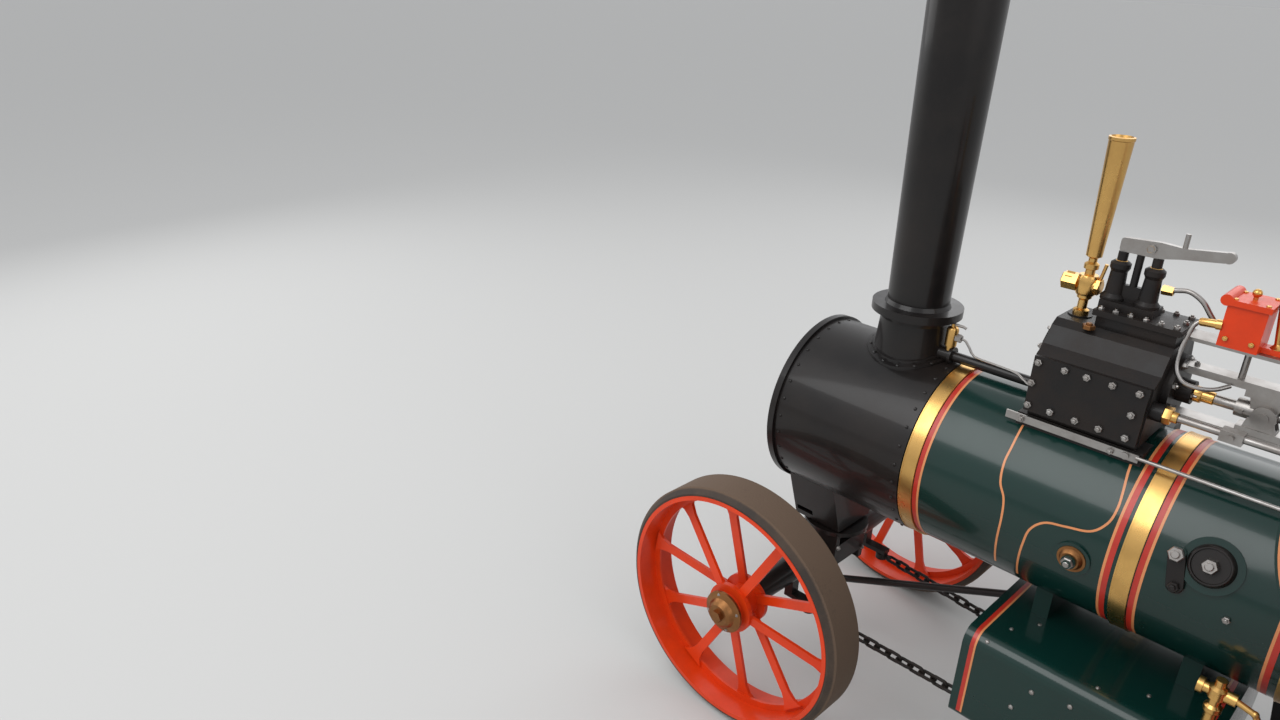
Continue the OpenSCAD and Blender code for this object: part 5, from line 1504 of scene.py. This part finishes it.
@dataclass
class WheelDress(Dress):
    """Hub studs of one road wheel, and the rivets of a rear wheel's spokes."""

    body: str
    end: End
    hand: Hand
    # studs round the hub cap: how far they stand off the wheel, and the ring as a share of the cap's radius
    stud_lift: float = 0.0052
    stud_ring: float = 0.86
    # number of studs and their nuts' radius
    studs: dict[End, tuple[int, float]] = field(
        default_factory=lambda: {End.FRONT: (4, 0.0036), End.REAR: (8, 0.0042)})
    # a rear wheel's spokes; rivets at the rim in pairs and at the hub: radius, from the wheel's middle, size
    spokes: int = 16
    rim: Point = (0.383, 0.049, 0.0048)
    pair_angle: float = 0.045
    hub: Point = (0.084, 0.063, 0.0050)

    def build(self) -> None:
        """Dresses the wheel."""
        end, hand, sign = self.end.value, self.hand.value, self.hand.sign
        cap = f"{end}_cap_{hand}"
        x, (z, cap_r) = self.plan.span(cap, 0)[0], self.plan.span(cap, 2)
        middle, half = self.plan.span(cap, 1)
        count, nut = self.studs[self.end]
        face = middle - sign * half + sign * self.stud_lift
        studs = Shape()
        places = ring_places((x, face, z), LEFT, cap_r * self.stud_ring, count, phase=20)
        studs.stamp(Fasteners.nut(nut), places, (0, sign, 0), spin=0.4)
        studs.piece(f"{end}_cap_studs_{hand}", Paint.STEEL, self.body)
        if self.end is End.REAR:
            self.rivets(x, z)

    def rivets(self, x: float, z: float) -> None:
        """Rivets the spokes to the rim and the hub. Every second spoke belongs to one side.

        Args:
            x: of the axle.
            z: of the axle.
        """
        rivets = Shape()
        middle = self.plan.span(f"rear_wheel_{self.hand.value}", 1)[0]
        turn = full_turn(self.spokes) + np.pi / self.spokes
        for way in SIDES:
            spokes = turn[::2] if way * self.hand.sign > 0 else turn[1::2]
            both = np.concatenate([spokes - self.pair_angle, spokes + self.pair_angle])
            for angles, (radius, off, size) in ((both, self.rim), (spokes, self.hub)):
                ring = circle(np.array(UP), np.array(FORWARD), angles)
                places = np.array([x, middle + way * off, z]) + radius * ring
                rivets.stamp(Fasteners.rivet(size), places, (0, way, 0))
        rivets.piece(f"rear_rivets_{self.hand.value}", Paint.RED, self.body)


@dataclass
class TankDress(Dress):
    """Rivets and lining of the belly tank."""

    # back, width, colour
    lines: tuple[tuple[float, float, Line], ...] = (
        (0.4435, 0.0075, Line.RED), (0.4491, 0.0036, Line.ORANGE),
        (0.8065, 0.0075, Line.RED), (0.8009, 0.0036, Line.ORANGE))
    # section: height of its top, radius of its upper edges, lining's start over its bottom, last point of
    # its straight side below the edge, and a point on its top to the side
    top: float = 0.395
    edge_r: float = 0.028
    start: float = 0.012
    gap: float = 0.01
    middle: float = 0.1
    # rivets on the sides, as back and height. Like the top, front and edge ones they are steel, whose
    # brightness is a painted highlight for the glints on them
    side_rivets: Pairs = (
        (0.560, 0.341), (0.624, 0.354), (0.533, 0.289), (0.700, 0.341), (0.765, 0.354))
    side_rivet: float = 0.0050
    # on the top, as back and to the side
    top_rivets: Pairs = ((0.483, 0.166), (0.513, 0.115), (0.650, 0.202), (0.716, 0.157))
    top_rivet: float = 0.0040
    # on the front, as to the side and height
    front_rivets: Pairs = ((0.1950, 0.3770), (0.1146, 0.3840))
    front_rivet: float = 0.0042
    # on the upper edges: back, and number of the section's point
    fold_rivet: tuple[float, int] = (0.4655, 6)
    # painted rivets of the front plate: back, points of the section, how far inside it; low row; radius
    plate_back: float = 0.425
    plate_points: tuple[int, ...] = (1, 4, 8, 11, 14, 18, 21)
    plate_inset: float = 0.012
    plate_row: tuple[float, float, int] = (0.205, 0.218, 9)
    plate_rivet: float = 0.0036

    def build(self) -> None:
        """Dresses the tank."""
        lines = {line: Shape() for line in Line}
        for back, width, line in self.lines:
            lines[line].strip(*self.skin(back), width)
        finish_lining(lines, "tank_lining")
        self.painted_glint_rivets()
        self.plate_rivets()

    def skin(self, back: float) -> tuple[np.ndarray, np.ndarray]:
        """Goes round the tank's section from the left lower edge over the top to the right one.

        Args:
            back: where the section lies.

        Returns:
            Points and outward normals, (n, 3) each: straight sides, and quarter circles at the upper edges.
        """
        low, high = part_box("belly_tank")
        half, r = high[1], self.edge_r
        a = np.radians(np.linspace(0, 90, 9))
        y = np.concatenate([[half, half], half - r + r * np.cos(a), [self.middle, 0.0]])
        straight = [low[2] + self.start, self.top - r - self.gap]
        z = np.concatenate([straight, self.top - r + r * np.sin(a), [self.top, self.top]])
        ny, nz = np.concatenate([[1, 1], np.cos(a), [0, 0]]), np.concatenate([[0, 0], np.sin(a), [1, 1]])
        left = np.stack([np.full(len(y), self.plan.x(back)), y, z, np.zeros(len(y)), ny, nz], -1)
        right = left[-2::-1] * (1, -1, 1, 1, -1, 1)
        both = np.vstack([left, right])
        return both[:, :3], both[:, 3:]

    def painted_glint_rivets(self) -> None:
        """Rivets on the sides, the top, the front and the upper edges, in steel so that they show bright: a
        painted highlight for the glints on them.
        """
        rivets = Shape()
        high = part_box("belly_tank")[1]
        for side in SIDES:
            places = self.plan.at(*((back, side * high[1], z) for back, z in self.side_rivets))
            rivets.stamp(Fasteners.rivet(self.side_rivet), places, (0, side, 0))
        places = self.plan.at(*((back, s * y, self.top) for back, y in self.top_rivets for s in SIDES))
        rivets.stamp(Fasteners.rivet(self.top_rivet), places, UP)
        places = [(high[0], s * y, z) for y, z in self.front_rivets for s in SIDES]
        rivets.stamp(Fasteners.rivet(self.front_rivet), places, FORWARD)
        back, number = self.fold_rivet
        points, normals = self.skin(back)
        pick = [number, -1 - number]
        rivets.stamp(Fasteners.rivet(self.top_rivet), points[pick], normals[pick])
        # painted highlight: the steel finish makes these rivets show as bright glints
        rivets.piece("tank_rivets", Paint.STEEL)

    def plate_rivets(self) -> None:
        """Painted rivets along the front plate's edge."""
        edge = Shape()
        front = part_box("belly_tank")[1][0]
        points, normals = self.skin(self.plate_back)
        pick = list(self.plate_points)
        half, z, count = self.plate_row
        row = line_places((front, -half, z), (front, half, z), count)
        for places in (points[pick] - normals[pick] * self.plate_inset, row):
            edge.stamp(Fasteners.rivet(self.plate_rivet), places, FORWARD)
        edge.piece("tank_front_rivets", Paint.GREEN)


@dataclass
class TenderDress(Dress):
    """Rivets, lining and drawbar bolts of the tender."""

    # ends of the tender's box behind the rear axle, and half its width
    rear: float = 0.430
    front: float = 0.130
    half: float = 0.200
    line: float = 0.0032
    corner_r: float = 0.018
    # panels: inset from the side's front, low edge, high edge; inset from its rear, half width on the rear
    panels: Points = ((0.024, 0.300, 0.474), (0.066, 0.528, 0.764))
    panel_rear: float = 0.058
    panel_half: float = 0.146
    # seams with rivets: heights and number of the level ones, heights and number of the upright ones;
    # insets on the side, half length and place to the side on the rear, radius
    seams: Pair = (0.283, 0.489)
    seam_count: int = 14
    uprights: tuple[tuple[float, float, int], ...] = ((0.305, 0.470, 8), (0.530, 0.770, 11))
    inset_rear: float = 0.045
    inset_front: float = 0.012
    rear_seam_half: float = 0.155
    rear_upright: float = 0.158
    rivet: float = 0.0032
    # drawbar's bolts: height of their middle, from it to the side and up, how far behind the plate, radius
    bolt_z: float = 0.310
    bolt_y: float = 0.048
    bolt_rise: float = 0.024
    bolt_lift: float = 0.012
    bolt_nut: float = 0.0065

    def build(self) -> None:
        """Dresses the tender."""
        x0, x1 = self.plan.rear_x - self.rear, self.plan.rear_x - self.front
        lines, rivets, bolts = Shape(), Shape(), Shape()
        a, b = x0 + self.inset_rear, x1 - self.inset_front
        for side in SIDES:
            y = side * self.half
            for inset, low, high in self.panels:
                outline = round_corners((x0 + self.panel_rear, low), (x1 - inset, high), self.corner_r)
                path = np.insert(outline, 1, y, axis=1)
                lines.strip(path, (0, side, 0), self.line, closed=True)
            rows = [((a, y, z), (b, y, z), self.seam_count) for z in self.seams]
            lower, upper = self.uprights
            for x, (low, high, count) in ((a, lower), (b, lower), (a, upper)):
                rows.append(((x, y, low), (x, y, high), count))
            self.rows(rivets, rows, (0, side, 0))
        for _, low, high in self.panels:
            outline = round_corners((-self.panel_half, low), (self.panel_half, high), self.corner_r)
            lines.strip(np.insert(outline, 0, x0, axis=1), BACKWARD, self.line, closed=True)
        half = self.rear_seam_half
        rows = [((x0, -half, z), (x0, half, z), self.seam_count) for z in self.seams]
        for y in (-self.rear_upright, self.rear_upright):
            rows.extend(((x0, y, low), (x0, y, high), count) for low, high, count in self.uprights)
        self.rows(rivets, rows, BACKWARD)
        lines.piece("tender_lining", Paint.ORANGE_LINE, sharp=LINE_SHARP)
        rivets.piece("tender_rivets", Paint.GREEN)
        places = [(x0 - self.bolt_lift, s * self.bolt_y, self.bolt_z + t * self.bolt_rise)
                  for s in SIDES for t in SIDES]
        bolts.stamp(Fasteners.nut(self.bolt_nut), places, BACKWARD, spin=0.5)
        bolts.piece("drawbar_bolts", Paint.IRON)

    def rows(self, shape: Shape, rows: list[tuple[Point, Point, int]], normal: Point) -> None:
        """Sets rows of rivets on a plate.

        Args:
            shape: what they are added to.
            rows: first place, last place and number of each row.
            normal: direction out of the plate.
        """
        for start, end, count in rows:
            shape.stamp(Fasteners.rivet(self.rivet), line_places(start, end, count), normal)


@dataclass
class CabDress(Dress):
    """Pressure gauge and handles that the driver uses."""

    # the steering wheel's joint in the frame
    column: dict
    # gauge: to the left and over the boiler's middle, radius of the dial and its paint's thickness
    gauge_y: float = -0.060
    gauge_rise: float = 0.108
    dial_r: float = 0.031
    dial_t: float = 0.0006
    # bezel's outside as radius and distance, and how far its lip stands over the dial's plate
    bezel: Pairs = ((0.036, -0.002), (0.036, 0.0020), (0.034, 0.0035))
    bezel_lip: float = 0.0030
    # marks: half the scale in degrees, number, inner radius of most and of every fifth, outer radius, width
    scale: float = 130.0
    mark_count: int = 27
    mark_from: Pair = (0.024, 0.021)
    mark_to: float = 0.028
    mark_width: float = 0.0008
    # needle: angle in degrees, from and to, width
    needle: float = -70.0
    needle_run: Pair = (-0.008, 0.022)
    needle_width: float = 0.0014
    # knob on the steering wheel's rim and nut in its middle: from the joint, profile of radius and distance
    knob_r: float = 0.092
    knob_lift: float = 0.004
    knob: Pairs = ((0.0045, 0), (0.0045, 0.010), (0.0085, 0.014), (0.0105, 0.026), (0.0095, 0.038),
                   (0.0055, 0.043), (0, 0.044))
    wheel_nut: Pairs = ((0.020, 0.011), (0.020, 0.016), (0.012, 0.020), (0, 0.021))
    # reversing lever: foot and top from the rear axle, to the left, height; profile of its grip
    lever_foot: Point = (0.016, -0.1662, 0.520)
    lever_top: Point = (-0.020, -0.1662, 0.960)
    grip: Pairs = (
        (0.0075, -0.075), (0.0100, -0.060), (0.0105, -0.020), (0.0085, -0.004), (0, -0.001))

    def build(self) -> None:
        """Dresses the driver's side."""
        self.gauge()
        self.handles()

    def gauge(self) -> None:
        """Pressure gauge's face with its bezel, marks and needle."""
        face, marks, bezel = Shape(), Shape(), Shape()
        middle = np.array([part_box("gauges")[0][0], self.gauge_y, self.plan.boiler_z + self.gauge_rise])
        r = self.dial_r
        face.revolve([(0, self.dial_t), (r, self.dial_t), (r, -OVERLAP)], middle, BACKWARD, sides=40)
        face.piece("gauge_face", Paint.DIAL)
        bezel.revolve([*self.bezel, (r, self.bezel_lip), (r, 0)], middle, BACKWARD, sides=48)
        bezel.piece("gauge_bezel", Paint.BRASS)
        for k, angle in enumerate(np.linspace(-self.scale, self.scale, self.mark_count)):
            run = (self.mark_from[0 if k % 5 else 1], self.mark_to)
            mark = self.on_dial(middle, angle, run, self.dial_t)
            marks.strip(mark, BACKWARD, self.mark_width, lift=0.0003, sink=0.0004)
        needle = self.on_dial(middle, self.needle, self.needle_run, 2 * self.dial_t)
        marks.strip(needle, BACKWARD, self.needle_width, sink=0.0004)
        marks.piece("gauge_marks", Paint.SOOT)

    def on_dial(self, middle: np.ndarray, angle: float, run: Pair, lift: float) -> np.ndarray:
        """Finds the ends of a line from the dial's middle outwards.

        Args:
            middle: of the dial.
            angle: from upright towards the left, in degrees.
            run: where the line starts and ends.
            lift: how far it lies off the plate behind the dial.

        Returns:
            (2, 3) points.
        """
        a = math.radians(angle)
        return middle - (lift, 0, 0) + np.array([[0, r * math.sin(a), r * math.cos(a)] for r in run])

    def handles(self) -> None:
        """Steering wheel's knob and nut, and the reversing lever's grip."""
        knob, grips = Shape(), Shape()
        centre, axis = np.array(self.column["pos_m"]), unit(np.array(self.column["axis"]))
        side, _ = upright(axis)
        knob.revolve(self.knob, centre + side * self.knob_r + axis * self.knob_lift, axis, sides=20)
        knob.revolve(self.wheel_nut, centre, axis, sides=24)
        knob.piece("steering_knob", Paint.BRASS, "steering_wheel")
        foot, top = np.array([self.lever_foot, self.lever_top]) + (self.plan.rear_x, 0, 0)
        grips.revolve(self.grip, top, top - foot, sides=20)
        grips.piece("reversing_grip", Paint.BRASS)


@dataclass
class FrontDress(Dress):
    """Nuts of the front axle and its perch."""

    # perch bracket's nuts: to the side, height, radius
    perch_y: Pair = (0.022, 0.050)
    perch_z: float = 0.352
    perch_nut: float = 0.0062
    # axle's nuts: before and behind it, to the side, heights, radius
    axle_reach: float = 0.044
    axle_y: float = 0.053
    axle_z: Pair = (0.245, 0.290)
    axle_nut: float = 0.0055

    def build(self) -> None:
        """Dresses the perch bracket and the axle."""
        nuts, axle = Shape(), Shape()
        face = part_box("perch_bracket")[1][0]
        places = [(face, s * y, self.perch_z) for s in SIDES for y in self.perch_y]
        nuts.stamp(Fasteners.nut(self.perch_nut), places, FORWARD, spin=0.4)
        nuts.piece("perch_nuts", Paint.STEEL)
        for way in SIDES:
            face = self.plan.front_x + way * self.axle_reach
            places = [(face, s * self.axle_y, z) for s in SIDES for z in self.axle_z]
            axle.stamp(Fasteners.nut(self.axle_nut), places, (way, 0, 0), spin=0.4)
        axle.piece("axle_nuts", Paint.STEEL, "front_axle")


# camera and stage


@dataclass(frozen=True)
class CameraPose:
    """Where the photograph was taken from, in the frame's own metres and degrees."""

    place: Point = (-0.14225, 1.616, 1.480)
    heading: float = 45.42
    pitch: float = 23.31
    roll: float = 2.28
    lens: float = 25.92
    film: float = 36.0
    near: float = 0.01

    def build(self) -> None:
        """Makes the camera. It looks along its heading and pitch, and the roll turns it about that line."""
        data = bpy.data.cameras.new("camera")
        data.lens, data.sensor_width, data.clip_start = self.lens, self.film, self.near
        obj = bpy.data.objects.new("camera", data)
        bpy.context.scene.collection.objects.link(obj)
        h, p, r = (math.radians(a) for a in (self.heading, self.pitch, self.roll))
        forward = Vector((math.cos(h) * math.cos(p), -math.sin(h) * math.cos(p), -math.sin(p)))
        right = forward.cross(Vector(UP)).normalized()
        up = right.cross(forward)
        right, up = right * math.cos(r) + up * math.sin(r), up * math.cos(r) - right * math.sin(r)
        turn = Matrix((right, up, -forward)).transposed()
        obj.matrix_world = Matrix.Translation(self.place) @ turn.to_4x4()
        bpy.context.scene.camera = obj


@dataclass(frozen=True)
class Lamp:
    """One soft lamp: its place, size and power, and what it faces."""

    name: str
    place: Point
    size: float
    power: float
    target: Point = (0, 0, 0.6)

    def build(self) -> None:
        """Hangs the lamp, facing the engine's middle."""
        data = bpy.data.lights.new(self.name, "AREA")
        data.energy = self.power
        data.size = self.size
        lamp = bpy.data.objects.new(self.name, data)
        bpy.context.scene.collection.objects.link(lamp)
        turn = (Vector(self.place) - Vector(self.target)).to_track_quat("Z", "Y").to_matrix()
        lamp.matrix_world = Matrix.Translation(self.place) @ turn.to_4x4()


@dataclass
class Stage:
    """Pale floor and soft studio light."""

    lamps: tuple[Lamp, ...] = (
        Lamp("key", (1.5, 3.2, 4.2), size=3.2, power=95),
        Lamp("fill", (-4.0, 1.5, 3.0), size=3.6, power=40),
        Lamp("back", (1.0, -4.0, 3.2), size=3.6, power=45),
        Lamp("front", (4.5, 0.5, 2.4), size=3.0, power=35))
    floor_color: Point = (0.54, 0.54, 0.53)
    floor_roughness: float = 0.9
    floor_half: float = 90.0
    sky: Point = (0.82, 0.83, 0.85)
    sky_strength: float = 0.92
    # what the camera sees past the floor's edge: the floor's own shade far from the lamps
    backdrop: Point = (0.434, 0.440, 0.446)

    def build(self) -> None:
        """Makes the floor, the world and the lamps."""
        self.floor()
        self.world()
        for lamp in self.lamps:
            lamp.build()

    def floor(self) -> None:
        """Lays the floor."""
        mesh = bpy.data.meshes.new("floor")
        h = self.floor_half
        mesh.from_pydata([(-h, -h, 0), (h, -h, 0), (h, h, 0), (-h, h, 0)], [], [(0, 1, 2, 3)])
        floor = bpy.data.objects.new("floor", mesh)
        bpy.context.scene.collection.objects.link(floor)
        mat = bpy.data.materials.new("floor")
        mat.use_nodes = True
        shader = mat.node_tree.nodes["Principled BSDF"]
        shader.inputs["Base Color"].default_value = (*self.floor_color, 1)
        shader.inputs["Roughness"].default_value = self.floor_roughness
        mesh.materials.append(mat)

    def world(self) -> None:
        """Makes the world: the sky lights the engine, and the camera sees the plain backdrop in its place."""
        world = bpy.data.worlds.new("studio")
        world.use_nodes = True
        nodes, link = world.node_tree.nodes, world.node_tree.links.new
        sky, seen = nodes["Background"], nodes.new("ShaderNodeBackground")
        pick, mix = nodes.new("ShaderNodeLightPath"), nodes.new("ShaderNodeMixShader")
        sky.inputs["Color"].default_value = (*self.sky, 1)
        sky.inputs["Strength"].default_value = self.sky_strength
        seen.inputs["Color"].default_value = (*self.backdrop, 1)
        link(pick.outputs["Is Camera Ray"], mix.inputs[0])
        link(sky.outputs["Background"], mix.inputs[1])
        link(seen.outputs["Background"], mix.inputs[2])
        link(mix.outputs["Shader"], nodes["World Output"].inputs["Surface"])
        bpy.context.scene.world = world


# run


def paint_nodes(frame: dict, plan: Plan) -> None:
    """Gives every CAD node its finish, and each pair of tyres rubber that is dusty on its tread.

    Args:
        plan: the engine's plan.
    """
    slots = {s["node"]: Paint(s["material_slot"]) for s in frame["record"]["subparts"]}
    for name, obj in frame["nodes"].items():
        obj.data.materials.clear()
        obj.data.materials.append(Palette.get(OWN_FINISH.get(name, slots[name])))
    for end, x, r in ((End.FRONT, plan.front_x, plan.wheel_r), (End.REAR, plan.rear_x, plan.rear_r)):
        finish = TyreFinish(FINISHES[Paint.RUBBER], axle_x=x, axle_z=r, radius=r)
        tyre = finish.build(f"{end.value}_tyre")
        for hand in Hand:
            frame["nodes"][f"{end.value}_tyre_{hand.value}"].data.materials[0] = tyre


def main() -> None:
    """Builds the scene in order."""
    logging.basicConfig(level=logging.INFO)
    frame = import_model()
    plan = Plan()
    paint_nodes(frame, plan)
    column = next(joint for joint in frame["joints"] if joint["name"] == "column_turn")
    for dress in (
            BoilerDress(plan), SmokeboxDress(plan), CylinderDress(plan), MotionDress(plan),
            FlywheelDress(plan),
            WheelDress(plan, "front_wheel_left", End.FRONT, Hand.LEFT),
            WheelDress(plan, "front_wheel_right", End.FRONT, Hand.RIGHT),
            WheelDress(plan, "rear_axle", End.REAR, Hand.LEFT),
            WheelDress(plan, "rear_wheel_right", End.REAR, Hand.RIGHT),
            TankDress(plan), TenderDress(plan), CabDress(plan, column), FrontDress(plan),
            CameraPose(), Stage()):
        dress.build()
    bpy.context.scene.view_settings.view_transform = "Standard"


if __name__ == "__main__":
    main()
